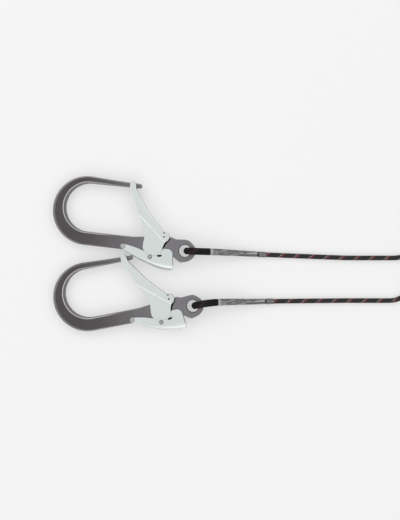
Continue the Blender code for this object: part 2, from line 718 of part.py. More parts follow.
def oval_ring(line, distance, half_wide, half_tall, sides=14):
    """An oval section square to the line."""
    here = point_at(line, distance)
    ahead, behind = point_at(line, distance + MM), point_at(line, max(0.0, distance - MM))
    along = (ahead - behind).normalized()
    sideways = Vector((-along.y, along.x, 0.0)).normalized()
    up = along.cross(sideways).normalized()
    turns = [2.0 * math.pi * k / sides for k in range(sides)]
    return [here + sideways * half_wide * math.cos(a) + up * half_tall * math.sin(a) for a in turns]


def sleeve_mesh(name, line, start, length):
    """A tapered sleeve that covers two strands at its start and one at its end."""
    rings = []
    for share in (0.0, 0.03, 0.2, 0.4, 0.6, 0.8, 0.97, 1.0):
        rim = 0.8 if share in (0.0, 1.0) else 1.0
        wide = 0.5 * LOOP_D + (0.5 * ROPE_D + SLEEVE_WALL - 0.5 * LOOP_D) * share
        ease = share * share * (3.0 - 2.0 * share)
        tall_start, tall_end = LOOP_D - 0.4 * MM, 0.5 * ROPE_D + SLEEVE_WALL
        tall = tall_start + (tall_end - tall_start) * ease
        rings.append(oval_ring(line, start + length * share, wide * rim, tall * rim))
    return loft(name, rings).data


def clear_sleeve_mesh(line, start):
    """A short clear ring round the rope."""
    inner, outer = 0.5 * ROPE_D + GAP, 0.5 * ROPE_D + GAP + CLEAR_WALL
    middle = start + 0.5 * CLEAR_LENGTH
    solid = loft("clear", [oval_ring(line, middle + k * 0.5 * CLEAR_LENGTH, outer, outer) for k in (-1, 1)])
    ends = [oval_ring(line, middle + k * 0.6 * CLEAR_LENGTH, inner, inner) for k in (-1, 1)]
    return cut(solid, loft("bore", ends)).data


# Coils


def coil_radius(turned_so_far):
    """The coil's radius after so many turns: it keeps each turn's radius, then moves in over its last third."""
    whole, part = divmod(turned_so_far, 1.0)
    ease = max(0.0, 3.0 * part - 2.0)
    return COIL_R - COIL_PITCH * (whole + ease * ease * (3.0 - 2.0 * ease))


def coil_path(turn, start):
    """The coil's middle line as (x, y, z) from its centre: turn is 1 for anticlockwise, -1 for clockwise."""
    steps = 18 * COIL_TURNS
    path = []
    for k in range(steps + 1):
        done = start + (COIL_TURNS - start) * k / steps
        radius = coil_radius(done - start)
        angle = 2.0 * math.pi * done - 0.5 * math.pi
        near_end = max(0.0, 1.0 - (COIL_TURNS - done) / 0.16)
        height = COIL_LIFT + 0.5 * ROPE_D + 0.55 * ROPE_D * near_end**2
        path.append(Vector((radius * math.cos(angle), turn * radius * math.sin(angle), height)))
    return path


def coil_bounds():
    inner = COIL_R - COIL_PITCH * COIL_TURNS - 0.5 * ROPE_D - 0.5 * MM
    return inner, COIL_R + 0.5 * ROPE_D + 0.5 * MM, COIL_LIFT, COIL_LIFT + ROPE_D + 0.8 * MM


def coil_mesh():
    """The outer shape of a coil: a turned ring."""
    inner, outer, low, high = coil_bounds()
    round_off = 0.3 * ROPE_D
    right = [(outer - round_off, high), (outer, high - round_off), (outer, low + round_off)]
    left = [(inner, low + round_off), (inner, high - round_off), (inner + round_off, high)]
    profile = [*right, (outer - round_off, low), (inner + round_off, low), *left]
    profile.append(profile[0])
    return turned("coil", profile, 40).data


def tie_mesh():
    """A strap round the coil's bundle, across the ring at its far side."""
    inner, outer, low, high = coil_bounds()
    near = math.sqrt(inner**2 - (0.5 * TIE_WIDTH) ** 2) - GAP
    x0, x1, y0, y1 = near, outer + GAP, low - GAP, high + GAP
    strap = box("tie", (x0 - TIE_T, -0.5 * TIE_WIDTH, y0 - TIE_T), (x1 + TIE_T, 0.5 * TIE_WIDTH, y1 + TIE_T))
    hole = box("tie_hole", (x0, -TIE_WIDTH, y0), (x1, TIE_WIDTH, y1))
    return cut(strap, hole).data


# Rope routes in the drawing frame. Heights follow the eye loop down to the floor.


def heights(eye_height, radius):
    """Heights of the leg's middle line from the eye down to the floor."""
    drop = eye_height - radius
    rise = 19.0 * MM * math.sin(HOOK_PITCH)
    shares = (0.93, 0.75, 0.43, 0.17, 0.06, 0.01)
    return [eye_height, eye_height + rise, *[radius + drop * share for share in shares]]


UPPER_ROUTE = [
    (-25.0, 15.1),
    (-6.0, 14.3),
    (17.0, 13.6),
    (35.0, 12.9),
    (65.0, 11.3),
    (96.0, 9.5),
    (115.0, 8.6),
    (140.0, 7.5),
    (165.0, 6.5),
    (198.0, 5.2),
    (238.0, 3.7),
    (262.0, 3.4),
]
LOWER_ROUTE = [
    (-11.8, -76.0),
    (7.0, -72.3),
    (29.5, -69.9),
    (48.0, -69.4),
    (78.0, -69.2),
    (109.0, -68.8),
    (128.0, -68.5),
    (150.0, -68.3),
    (180.0, -68.0),
    (215.0, -67.7),
    (238.0, -67.5),
]


def approach(turn, line_y):
    """How a straight leg at line_y gets to its coil: (points from the bend on, turns already done there).

    It works with the coil turning anticlockwise about (0, 0). The bend is an arc of signed radius, whose
    end meets the coil's circle along their common tangent.
    """
    centre = coil_centre(turn)
    bend_x, bend_r = UPPER_BEND if turn > 0.0 else LOWER_BEND
    hub = Vector((bend_x - centre.x, turn * (line_y - centre.y) + bend_r))
    heading = math.atan2(-hub.y, -hub.x) - math.asin((COIL_R - bend_r) / hub.length)
    steps = max(3, round(abs(math.degrees(heading)) / 10.0))
    turns = [heading * k / steps for k in range(steps + 1)]
    path = [hub + Vector((math.sin(a), -math.cos(a))) * bend_r for a in turns]
    meets = Vector((math.sin(heading), -math.cos(heading))) * COIL_R
    spans = max(1, round((meets - path[-1]).length / (25.0 * MM)))
    path += [path[-1].lerp(meets, k / spans) for k in range(1, spans + 1)]
    return [Vector((centre.x + p.x, centre.y + turn * p.y)) for p in path], heading / (2.0 * math.pi)


def lead_points(route, turn):
    """From the eye to where the coil begins."""
    floor = 0.5 * ROPE_D + 0.2 * MM
    z = heights(EYE_Z, floor)
    z += [floor] * (len(route) - len(z))
    points = [Vector((x * MM, y * MM, h)) for (x, y), h in zip(route, z)]
    path, _ = approach(turn, points[-1].y)
    middle = 0.5 * (points[-1].x + path[0].x)
    points.append(Vector((middle, points[-1].y, floor)))
    for k, point in enumerate(path):
        points.append(Vector((*point, floor + (COIL_LIFT - 0.2 * MM) * k / (len(path) - 1))))
    return points


def coil_centre(turn):
    return Vector((COIL_X, MID_Y + turn * COIL_APART, 0.0))


def end_line(turn):
    """From the steel link outward along the leg: the middle line of its end sleeve and loop."""
    outward_dir = Vector((-math.cos(LINK_ANGLE), turn * math.sin(LINK_ANGLE), 0.0))
    wire = Vector((LINK_X, MID_Y, LINK_Z)) + outward_dir * LINK_R
    rope_z = 0.5 * ROPE_D + 2.0 * MM
    sleeve_end = LOOP_LENGTH + END_SLEEVE_LENGTH
    middle = LOOP_LENGTH + 0.5 * END_SLEEVE_LENGTH
    drops = ((0.0, 0.0), (3.0 * LINK_WIRE_R, 0.0), (LOOP_LENGTH, 0.1), (middle, 0.57))
    drops += ((sleeve_end, 1.0), (sleeve_end + 11.0 * MM, 1.0))
    points = []
    for distance, share in drops:
        point = wire + outward_dir * distance
        points.append(Vector((point.x, point.y, LINK_Z + (rope_z - LINK_Z) * share)))
    return points


def exit_radius(turn):
    route = UPPER_ROUTE if turn > 0.0 else LOWER_ROUTE
    return coil_radius(COIL_TURNS - approach(turn, route[-1][1] * MM)[1])


def tail_points(turn):
    """From the coil over its own turns to the end sleeve."""
    centre = coil_centre(turn)
    exit_y = centre.y - turn * exit_radius(turn)
    crossing = COIL_LIFT + 1.55 * ROPE_D
    landed = end_line(turn)[-2]
    return [
        Vector((centre.x + 14.0 * MM, exit_y, crossing)),
        Vector((centre.x + 32.0 * MM, exit_y + turn * 0.9 * MM, crossing)),
        Vector((centre.x + 50.0 * MM, exit_y + turn * 3.0 * MM, crossing - 2.0 * MM)),
        Vector((centre.x + 66.0 * MM, exit_y + turn * 4.6 * MM, crossing - 5.8 * MM)),
        Vector((landed.x - 10.8 * MM, landed.y + turn * 1.7 * MM, landed.z + 0.2 * MM)),
        landed,
    ]


def place_leg(side, route, turn):
    lead = smooth_line(lead_points(route, turn), 6)
    loop = upright_loop(lead, EYE_R, RING_R, RING_HALF, 0.5 * LOOP_D, 0.5 * LOOP_D + 0.15 * MM, LOOP_LENGTH)
    base = Matrix.Translation(-ORIGIN)
    finish(f"{side}_eye_loop", tube("eye_loop", loop, 0.5 * LOOP_D, 3), "black_cover", base)
    start = LOOP_LENGTH + 2.0 * GAP
    finish(f"{side}_sleeve", sleeve_mesh("sleeve", lead, start, SLEEVE_LENGTH), "grey_sleeve", base)
    rope_start = start + SLEEVE_LENGTH + GAP
    finish(f"{side}_clear_sleeve", clear_sleeve_mesh(lead, rope_start + 2.0 * MM), "clear_sleeve", base)
    outer = coil_bounds()[1]
    centre = coil_centre(turn)
    clear = outer + GAP + 0.5 * ROPE_D
    free = next(k for k, point in enumerate(lead) if (point.xy - centre.xy).length < clear)
    rope_end = length_of(lead[:free])
    rope = spaced(stretch_of(lead, rope_start, rope_end), 2.2 * ROPE_D)
    finish(f"{side}_rope", tube("rope", rope, 0.5 * ROPE_D), "rope", base)

    finish(f"{side}_coil", COIL_MESH, "rope", base @ Matrix.Translation(centre))
    far = Matrix.Translation(centre) @ Matrix.Rotation(turn * 0.5 * math.pi, 4, "Z")
    finish(f"{side}_coil_tie", TIE_MESH, "webbing", base @ far)

    near_side = exit_radius(turn) - 0.5 * ROPE_D - 3.0 * MM
    clear_x = centre.x + math.sqrt((outer + GAP) ** 2 - near_side**2)
    tail = smooth_line(tail_points(turn), 6)
    skip = next(length_of(tail[: k + 1]) for k, point in enumerate(tail) if point.x > clear_x + MM)
    tail_rope = spaced(stretch_of(tail, skip, length_of(tail) - GAP), 1.6 * ROPE_D)
    finish(f"{side}_tail_rope", tube("tail_rope", tail_rope, 0.5 * ROPE_D), "rope", base)

    ending = smooth_line(end_line(turn), 6)
    wire = LINK_WIRE_R
    loop = upright_loop(ending, -wire, wire, wire, 0.5 * LOOP_D, 0.5 * LOOP_D + 0.15 * MM, LOOP_LENGTH)
    finish(f"{side}_end_loop", tube("end_loop", loop, 0.5 * LOOP_D, 3), "black_cover", base)
    ending_sleeve = sleeve_mesh("end_sleeve", ending, start, END_SLEEVE_LENGTH - 4.0 * GAP)
    finish(f"{side}_end_sleeve", ending_sleeve, "grey_sleeve", base)
    turned = length_of(coil_path(turn, approach(turn, route[-1][1] * MM)[1]))
    whole = length_of(lead) + turned + length_of(tail) + length_of(ending)
    print(f"{side} leg, eye to link: {whole:.3f} m")


# Absorber


def ribbon(name, path, wide, narrow, thick):
    """A flat band along a line in the standing plane of the X axis, narrower round its bend."""
    rings = []
    reach = abs(path[0].x - path[len(path) // 2].x)
    for k, point in enumerate(path):
        share = min(1.0, abs(point.x - path[len(path) // 2].x) / (0.6 * reach))
        width = narrow + (wide - narrow) * share * share
        before, after = path[max(0, k - 1)], path[min(len(path) - 1, k + 1)]
        along = (after - before).normalized()
        square = Vector((-along.z, 0.0, along.x)) * 0.5 * thick
        side = Vector((0.0, 0.5 * width, 0.0))
        rings.append([point + square + side, point + square - side, point - square - side, point - square + side])
    return loft(name, rings).data


def web_loop_path(bend_x, away, direction, root_x, root_off):
    """A webbing loop seen from the side: round a rod at bend_x and back to the pack at root_x.

    Its two straight runs leave the bend as tangents and meet at the neck's length from it.
    """
    neck = WEB_NECK
    leave = 180.0 - math.degrees(math.atan2(root_off, neck) + math.acos(away / math.hypot(neck, root_off)))
    turn = [(bend_x - direction * p.x, p.y) for p in arc((0.0, 0.0), away, leave, -leave, 12)]
    start = [(root_x, root_off), (bend_x + direction * neck, root_off)]
    path = start + turn + [(x, -z) for x, z in reversed(start)]
    return [Vector((x, MID_Y, LINK_Z + z)) for x, z in path]


def bow_depth(ring_r, rod_r, half_width):
    """How much further in a straight band of that width must lie to clear a curved rod."""
    chord = math.sqrt(ring_r**2 - half_width**2)
    return ring_r - chord + rod_r * (ring_r / chord - 1.0)


def rounded_box(name, low, high, radius, segments=3):
    solid = box(name, low, high)
    bevel = solid.modifiers.new("round", "BEVEL")
    bevel.width = radius
    bevel.segments = segments
    solid.data = baked(solid)
    solid.modifiers.clear()
    return solid


def place_absorber():
    base = Matrix.Translation(-ORIGIN)
    wire_x = LINK_X + LINK_R
    cover_x = wire_x + LINK_TO_COVER
    cover_end = cover_x + COVER_LENGTH
    half_w = 0.5 * COVER_WIDTH
    cover = rounded_box(
        "cover",
        (cover_x, MID_Y - half_w, 0.0),
        (cover_end, MID_Y + half_w, 2.0 * COVER_HALF),
        COVER_ROUND,
    )
    wall = COVER_WALL
    inside = box(
        "inside",
        (cover_x + wall, MID_Y - half_w + wall, wall),
        (cover_end - wall, MID_Y + half_w - wall, 2.0 * COVER_HALF - wall),
    )
    slot_w, slot_h = 0.5 * WEB_WIDTH + 1.0 * MM, WEB_T + 1.0 * MM
    slot = box(
        "slot",
        (cover_x - MM, MID_Y - slot_w, COVER_HALF - slot_h),
        (cover_end + MM, MID_Y + slot_w, COVER_HALF + slot_h),
    )
    cut(cover, inside, slot)
    finish("absorber_cover", cover.data, "webbing", base)

    pack_x = cover_x + 0.5 * (COVER_LENGTH - PACK_LENGTH)
    pack = rounded_box(
        "pack",
        (pack_x, MID_Y - 0.5 * PACK_WIDTH, COVER_HALF - 0.5 * PACK_T),
        (pack_x + PACK_LENGTH, MID_Y + 0.5 * PACK_WIDTH, COVER_HALF + 0.5 * PACK_T),
        2.0 * MM,
        2,
    )
    finish("absorber_tear_pack", pack.data, "tear_webbing", base)

    link = turned_ring("steel_link", LINK_R, LINK_WIRE_R)
    finish("steel_link", link, "steel", base @ Matrix.Translation((LINK_X, MID_Y, LINK_Z)))

    root_off = 0.5 * WEB_T + 0.15 * MM
    away = LINK_WIRE_R + 2.0 * GAP + 0.5 * WEB_T
    bend_x = wire_x - bow_depth(LINK_R, LINK_WIRE_R, 0.5 * WEB_AT_LINK)
    path = web_loop_path(bend_x, away, 1.0, pack_x - GAP, root_off)
    band = ribbon("leg_loop", path, WEB_WIDTH, WEB_AT_LINK, WEB_T)
    finish("absorber_leg_loop", band, "webbing", base)

    rod_x = cover_end + COVER_TO_CONNECTOR
    away = ROD_R + 3.0 * GAP + 0.5 * WEB_T
    bend_x = rod_x + bow_depth(SMALL_END_R, ROD_R, 0.5 * WEB_AT_CONNECTOR)
    path = web_loop_path(bend_x, away, -1.0, pack_x + PACK_LENGTH + GAP, root_off)
    band = ribbon("harness_loop", path, WEB_WIDTH, WEB_AT_CONNECTOR, WEB_T)
    finish("absorber_harness_loop", band, "webbing", base)
    return rod_x


def turned_ring(name, radius, wire_r, sides=12):
    """A round ring of round wire about the Z axis."""
    profile = [(radius + wire_r * math.cos(a), wire_r * math.sin(a)) for a in ring_angles(sides)]
    profile.append(profile[0])
    return turned(name, profile, 36).data


def ring_angles(sides):
    return [-2.0 * math.pi * k / sides for k in range(sides)]


# Harness connector, in its own frame: its small end's rod passes the origin and it reaches to +X


def connector_lean():
    """How far the straight sides lean, as tangents to both ends."""
    return math.degrees(math.asin((BIG_END_R - SMALL_END_R) / (CONNECTOR_LENGTH - BIG_END_R - SMALL_END_R)))


def connector_path():
    """The rod's middle line from the hinge side of the small end round to the nose side of the big end."""
    side = 90.0 + connector_lean()
    small = arc((SMALL_END_R, 0.0), SMALL_END_R, side, 360.0 - side, 12)
    big = arc((CONNECTOR_LENGTH - BIG_END_R, 0.0), BIG_END_R, -side, side, 16)
    return [*small, *big]


def connector_points():
    """The hinge point and the nose's end, both on the rod's middle line."""
    path = connector_path()
    along = (path[-1] - path[0]).normalized()
    return path[0] + along * HINGE_INSET, path[-1] - along * NOSE_INSET


def lengthwise(name, start, end, low_share, high_share, radius, sides=20):
    """A round bar along the line from start to end, between two distances along it."""
    along = (end - start).normalized()
    made = cylinder(name, (0.0, 0.0), radius, low_share, high_share, sides=sides)
    turn = Matrix.Rotation(math.atan2(along.y, along.x), 4, "Z") @ Matrix.Rotation(0.5 * math.pi, 4, "Y")
    made.data.transform(Matrix.Translation((start.x, start.y, 0.0)) @ turn)
    return made


def connector_pieces():
    """Each piece of the connector as (mesh, finish, place of its origin)."""
    hinge, nose = connector_points()
    reach = (nose - hinge).length
    along = (nose - hinge).normalized()
    rod = bpy.data.objects.new(
        "make_rod", tube("rod", [Vector((p.x, p.y, 0.0)) for p in [hinge, *connector_path(), nose]], ROD_R, 3)
    )
    HELPERS.objects.link(rod)
    body = outward(helper_object("connector_body", baked(rod)))
    bpy.data.objects.remove(rod)
    join(body, cylinder("knuckle", hinge, KNUCKLE_R, -ROD_R, ROD_R, sides=28))
    slot_half = TONGUE_HALF + GAP
    hole_r = CONNECTOR_RIVET_R + GAP
    cut(
        body,
        cylinder("tongue_slot", hinge, KNUCKLE_R + 1.2 * MM, -slot_half, slot_half, sides=28),
        cylinder("rivet_hole", hinge, hole_r, -2.0 * ROD_R, 2.0 * ROD_R, sides=20),
    )
    gate_start, gate_end = KNUCKLE_R + 0.7 * MM, reach - NOSE_GAP
    gate = lengthwise("connector_gate", hinge, nose, gate_start, gate_end, ROD_R)
    half = Vector((-along.y, along.x)) * (KNUCKLE_R - 1.2 * MM)
    root = hinge + along * 2.0 * KNUCKLE_R
    tongue = [hinge + half, hinge - half, root - half, root + half]
    join(
        gate,
        plate("tongue", tongue, -TONGUE_HALF, TONGUE_HALF),
        cylinder("tongue_end", hinge, KNUCKLE_R - 1.2 * MM, -TONGUE_HALF, TONGUE_HALF, sides=28),
    )
    cut(gate, cylinder("tongue_hole", hinge, hole_r, -ROD_R, ROD_R, sides=20))
    bore_r = ROD_R + GAP
    sleeve_end = gate_end + SCREW_LAP - SCREW_TRAVEL
    sleeve_start = sleeve_end - SCREW_SLEEVE_LENGTH
    sleeve = lengthwise(
        "sleeve", hinge, nose, sleeve_start, sleeve_end, bore_r + SCREW_SLEEVE_WALL, 24
    )
    cut(sleeve, lengthwise("sleeve_bore", hinge, nose, sleeve_start - MM, sleeve_end + MM, bore_r, 24))
    rivet_half = ROD_R + 0.4 * MM
    rivet = cylinder("rivet", hinge, CONNECTOR_RIVET_R, -rivet_half, rivet_half, sides=20)
    rod_place = Vector((0.0, 0.0))
    return {
        "body": (body.data, "connector", rod_place),
        "gate": (about(gate.data, hinge), "connector", hinge),
        "screw_sleeve": (about(sleeve.data, hinge), "steel", hinge),
        "gate_rivet": (about(rivet.data, hinge), "steel", hinge),
    }


def place_connector(rod_x):
    """Tip the connector so that its far end rests on the floor."""
    drop = math.asin((LINK_Z - ROD_R) / CONNECTOR_LENGTH)
    root = bpy.data.objects.new("connector_frame", None)
    PARTS.objects.link(root)
    root.matrix_world = Matrix.Translation(Vector((rod_x, MID_Y, LINK_Z)) - ORIGIN) @ tilt(0.0, drop)
    for piece, (mesh, finish_name, place) in connector_pieces().items():
        frame = root.matrix_world @ Matrix.Translation((place.x, place.y, 0.0))
        made = finish(f"connector_{piece}", mesh, finish_name, frame)
        made.parent = root
        made.matrix_parent_inverse = root.matrix_world.inverted()


COIL_MESH = coil_mesh()
TIE_MESH = tie_mesh()
HOOK_PIECES = hook_pieces()
place_hook("upper", UPPER_EYE, UPPER_YAW, HOOK_PIECES)
place_hook("lower", LOWER_EYE, LOWER_YAW, HOOK_PIECES)
place_leg("upper", UPPER_ROUTE, 1.0)
place_leg("lower", LOWER_ROUTE, -1.0)
place_connector(place_absorber())
for leftover in list(HELPERS.objects):
    bpy.data.objects.remove(leftover)
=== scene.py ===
# %% [markdown]
# # Dressing a twin-leg lanyard
# The real object joins a harness to a scaffold tube. It has two large snap hooks, a rope leg to each,
# an absorber that tears open in a fall, and a connector for the harness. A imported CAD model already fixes
# every size and place. This lesson loads it, then gives each piece its real form and finish.

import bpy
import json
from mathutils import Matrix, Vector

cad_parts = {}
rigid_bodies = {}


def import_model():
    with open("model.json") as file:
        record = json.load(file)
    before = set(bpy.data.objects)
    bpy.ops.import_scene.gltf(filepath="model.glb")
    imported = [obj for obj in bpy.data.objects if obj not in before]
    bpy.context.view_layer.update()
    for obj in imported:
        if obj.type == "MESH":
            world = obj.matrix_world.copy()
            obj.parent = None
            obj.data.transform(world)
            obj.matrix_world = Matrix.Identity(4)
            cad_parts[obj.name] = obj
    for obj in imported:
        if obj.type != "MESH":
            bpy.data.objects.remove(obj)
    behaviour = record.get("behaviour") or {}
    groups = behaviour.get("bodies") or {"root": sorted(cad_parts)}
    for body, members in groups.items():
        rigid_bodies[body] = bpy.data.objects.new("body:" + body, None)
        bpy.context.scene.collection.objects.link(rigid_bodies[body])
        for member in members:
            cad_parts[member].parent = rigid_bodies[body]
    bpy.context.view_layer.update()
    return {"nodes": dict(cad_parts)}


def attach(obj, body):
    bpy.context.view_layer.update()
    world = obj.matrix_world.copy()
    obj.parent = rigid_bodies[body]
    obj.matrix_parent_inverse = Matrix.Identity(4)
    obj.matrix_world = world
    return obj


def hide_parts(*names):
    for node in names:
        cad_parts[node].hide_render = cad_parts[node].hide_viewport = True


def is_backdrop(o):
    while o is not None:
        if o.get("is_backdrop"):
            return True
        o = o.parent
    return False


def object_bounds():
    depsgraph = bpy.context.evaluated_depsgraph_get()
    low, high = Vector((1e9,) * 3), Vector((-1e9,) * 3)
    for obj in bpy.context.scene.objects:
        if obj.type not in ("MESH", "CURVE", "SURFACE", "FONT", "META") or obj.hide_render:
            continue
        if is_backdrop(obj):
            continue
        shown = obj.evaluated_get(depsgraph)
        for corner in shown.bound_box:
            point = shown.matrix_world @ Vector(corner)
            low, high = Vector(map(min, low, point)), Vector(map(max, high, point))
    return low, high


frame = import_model()

# %% The tools of the lesson
import json
import math

import bpy
import numpy as np
from mathutils import Matrix, Vector

MM = 0.001
ORIGIN = Vector((0.3679, 0.0104, 0.0))

# %% [markdown]
# ## The camera
# The photograph looks straight down on the two hooks. An overhead product shot is taken from far away with
# a long lens, so nothing leans outward. The picture's height covers 0.86 m of floor.

# %% Camera
LENS = 100.0
SENSOR = 36.0
PICTURE_HEIGHT = 0.8606
HOOK_HEIGHT = 0.016
reach = PICTURE_HEIGHT * LENS / SENSOR
bpy.ops.object.camera_add(location=(-ORIGIN.x, -ORIGIN.y, HOOK_HEIGHT + reach), rotation=(0.0, 0.0, 0.0))
camera = bpy.context.object
camera.name = "overhead_camera"
camera.data.lens = LENS
camera.data.sensor_width = SENSOR
bpy.context.scene.camera = camera
print("camera at", [round(x, 3) for x in camera.location])

# %% [markdown]
# ## The way of each rope leg
# A rope is one smooth line before it is anything else. The leg leaves the hook's eye, sinks to the floor,
# runs to a tied coil, crosses the coil's turns and ends at the steel link. The points are the ones that
# the CAD model was made from, in the same order, so the rope lies exactly where its solids are.

# %% Sizes along a leg
ROPE_D = 8.0 * MM
LOOP_D = 11.5 * MM
GAP = 0.3 * MM
EYE_R, RING_R, RING_HALF = 9.8 * MM, 18.5 * MM, 5.0 * MM
EYE_Z = RING_HALF + GAP + LOOP_D
LINK_X, LINK_R, LINK_WIRE_R = 620.0 * MM, 32.0 * MM, 4.0 * MM
LINK_Z = LINK_WIRE_R + GAP + LOOP_D
LINK_ANGLE = math.radians(17.0)
LOOP_LENGTH, SLEEVE_LENGTH, END_SLEEVE_LENGTH = 41.0 * MM, 79.0 * MM, 60.0 * MM
COIL_X, COIL_APART, COIL_R = 402.0 * MM, 72.0 * MM, 52.3 * MM
COIL_PITCH, COIL_LIFT, COIL_TURNS = 8.15 * MM, 1.6 * MM, 2
MID_Y = ORIGIN.y
BOW_RESTS_AT, BOW_REACH = 7.9 * MM, 222.0 * MM
HOOK_PITCH = math.asin((EYE_Z - BOW_RESTS_AT) / BOW_REACH)
ROUTES = {
    "upper": ((-25.0, 15.1), (-6.0, 14.3), (17.0, 13.6), (35.0, 12.9), (65.0, 11.3), (96.0, 9.5),
              (115.0, 8.6), (140.0, 7.5), (165.0, 6.5), (198.0, 5.2), (238.0, 3.7), (262.0, 3.4)),
    "lower": ((-11.8, -76.0), (7.0, -72.3), (29.5, -69.9), (48.0, -69.4), (78.0, -69.2), (109.0, -68.8),
              (128.0, -68.5), (150.0, -68.3), (180.0, -68.0), (215.0, -67.7), (238.0, -67.5)),
}
TURN = {"upper": 1.0, "lower": -1.0}
BEND = {1.0: (321.0 * MM, 60.0 * MM), -1.0: (315.0 * MM, -40.0 * MM)}
print("hooks lean", round(math.degrees(HOOK_PITCH), 1), "degrees; coils:", round(2.0 * COIL_R, 3), "m wide")

# %% Lines through points


def ease(t):
    """A soft step from 0 to 1."""
    t = min(1.0, max(0.0, t))
    return t * t * (3.0 - 2.0 * t)


def smooth_line(points, per_span=6):
    """Points on a smooth curve through the given ones."""
    ends = [2.0 * points[0] - points[1], *points, 2.0 * points[-1] - points[-2]]
    line = []
    for k in range(1, len(ends) - 2):
        a, b, c, d = ends[k - 1:k + 3]
        for j in range(per_span):
            t = j / per_span
            square, cube = (2.0 * a - 5.0 * b + 4.0 * c - d) * t**2, (3.0 * b - a - 3.0 * c + d) * t**3
            line.append(0.5 * (2.0 * b + (c - a) * t + square + cube))
    return [*line, points[-1]]


def length_of(line):
    return sum((b - a).length for a, b in zip(line, line[1:]))


def stretch_of(line, start, end):
    """The part of a line between two distances along it."""
    made, walked = [], 0.0
    for a, b in zip(line, line[1:]):
        span = (b - a).length
        if walked <= start < walked + span:
            made.append(a.lerp(b, (start - walked) / span))
        if start < walked + span < end:
            made.append(b)
        if walked < end <= walked + span:
            made.append(a.lerp(b, (end - walked) / span))
        walked += span
    return made


def spaced(line, step):
    """The line again, its points an even step apart."""
    points = np.array(line)
    along = np.concatenate([[0.0], np.cumsum(np.linalg.norm(np.diff(points, axis=0), axis=1))])
    at = np.linspace(0.0, along[-1], max(2, round(along[-1] / step) + 1))
    return [Vector(p) for p in np.stack([np.interp(at, along, points[:, k]) for k in range(3)], axis=1)]


corner = smooth_line([Vector((0.0, 0.0)), Vector((1.0, 0.0)), Vector((1.0, 1.0))])
print("a corner of two metres becomes a line of", round(length_of(corner), 3), "m")

# %% From the eye to the coil


def coil_centre(turn):
    return Vector((COIL_X, MID_Y + turn * COIL_APART, 0.0))


def approach(turn, line_y):
    """How a straight leg gets to its coil: (points from the bend on, turns of the coil done by then)."""
    centre = coil_centre(turn)
    bend_x, bend_r = BEND[turn]
    hub = Vector((bend_x - centre.x, turn * (line_y - centre.y) + bend_r))
    heading = math.atan2(-hub.y, -hub.x) - math.asin((COIL_R - bend_r) / hub.length)
    steps = max(3, round(abs(math.degrees(heading)) / 10.0))
    turns = [heading * k / steps for k in range(steps + 1)]
    path = [hub + Vector((math.sin(a), -math.cos(a))) * bend_r for a in turns]
    meets = Vector((math.sin(heading), -math.cos(heading))) * COIL_R
    spans = max(1, round((meets - path[-1]).length / (25.0 * MM)))
    path += [path[-1].lerp(meets, k / spans) for k in range(1, spans + 1)]
    return [Vector((centre.x + p.x, centre.y + turn * p.y)) for p in path], heading / (2.0 * math.pi)


def lead_points(route, turn):
    """From the hook's eye to where the coil begins."""
    floor = 0.5 * ROPE_D + 0.2 * MM
    drop, rise = EYE_Z - floor, 19.0 * MM * math.sin(HOOK_PITCH)
    heights = [EYE_Z, EYE_Z + rise, *[floor + drop * share for share in (0.93, 0.75, 0.43, 0.17, 0.06, 0.01)]]
    heights += [floor] * (len(route) - len(heights))
    points = [Vector((x * MM, y * MM, z)) for (x, y), z in zip(route, heights)]
    path = approach(turn, points[-1].y)[0]
    points.append(Vector((0.5 * (points[-1].x + path[0].x), points[-1].y, floor)))
    climb = COIL_LIFT - 0.2 * MM
    return points + [Vector((*point, floor + climb * k / (len(path) - 1))) for k, point in enumerate(path)]


leads = {side: smooth_line(lead_points(ROUTES[side], TURN[side])) for side in TURN}
for side, lead in leads.items():
    print(side, "lead", round(length_of(lead), 3), "m")

# %% Round the coil


def coil_radius(done):
    """The coil keeps each turn's radius, then moves in by a diameter over that turn's last third."""
    whole, part = divmod(done, 1.0)
    return COIL_R - COIL_PITCH * (whole + ease(3.0 * part - 2.0))


def turns_done(turn):
    """How far round the coil a leg already is where it meets it."""
    route = ROUTES["upper" if turn > 0.0 else "lower"]
    return approach(turn, route[-1][1] * MM)[1]


def coil_points(turn):
    """The coil's turns, each inside the one before."""
    centre, start, points = coil_centre(turn), turns_done(turn), []
    steps = 18 * COIL_TURNS
    for k in range(steps + 1):
        done = start + (COIL_TURNS - start) * k / steps
        radius, angle = coil_radius(done - start), 2.0 * math.pi * done - 0.5 * math.pi
        near_end = max(0.0, 1.0 - (COIL_TURNS - done) / 0.16)
        height = COIL_LIFT + 0.5 * ROPE_D + 0.55 * ROPE_D * near_end**2
        points.append(centre + Vector((radius * math.cos(angle), turn * radius * math.sin(angle), height)))
    return points


print("a coil takes", round(length_of(coil_points(1.0)), 3), "m of rope")

# %% From the coil to the link


def end_points(turn):
    """From the steel link outward along the leg."""
    out = Vector((-math.cos(LINK_ANGLE), turn * math.sin(LINK_ANGLE), 0.0))
    wire = Vector((LINK_X, MID_Y, LINK_Z)) + out * LINK_R
    low = 0.5 * ROPE_D + 2.0 * MM
    points = []
    for distance, share in ((0.0, 0.0), (12.0, 0.0), (41.0, 0.1), (71.0, 0.57), (101.0, 1.0), (112.0, 1.0)):
        point = wire + out * distance * MM
        points.append(Vector((point.x, point.y, LINK_Z + (low - LINK_Z) * share)))
    return points


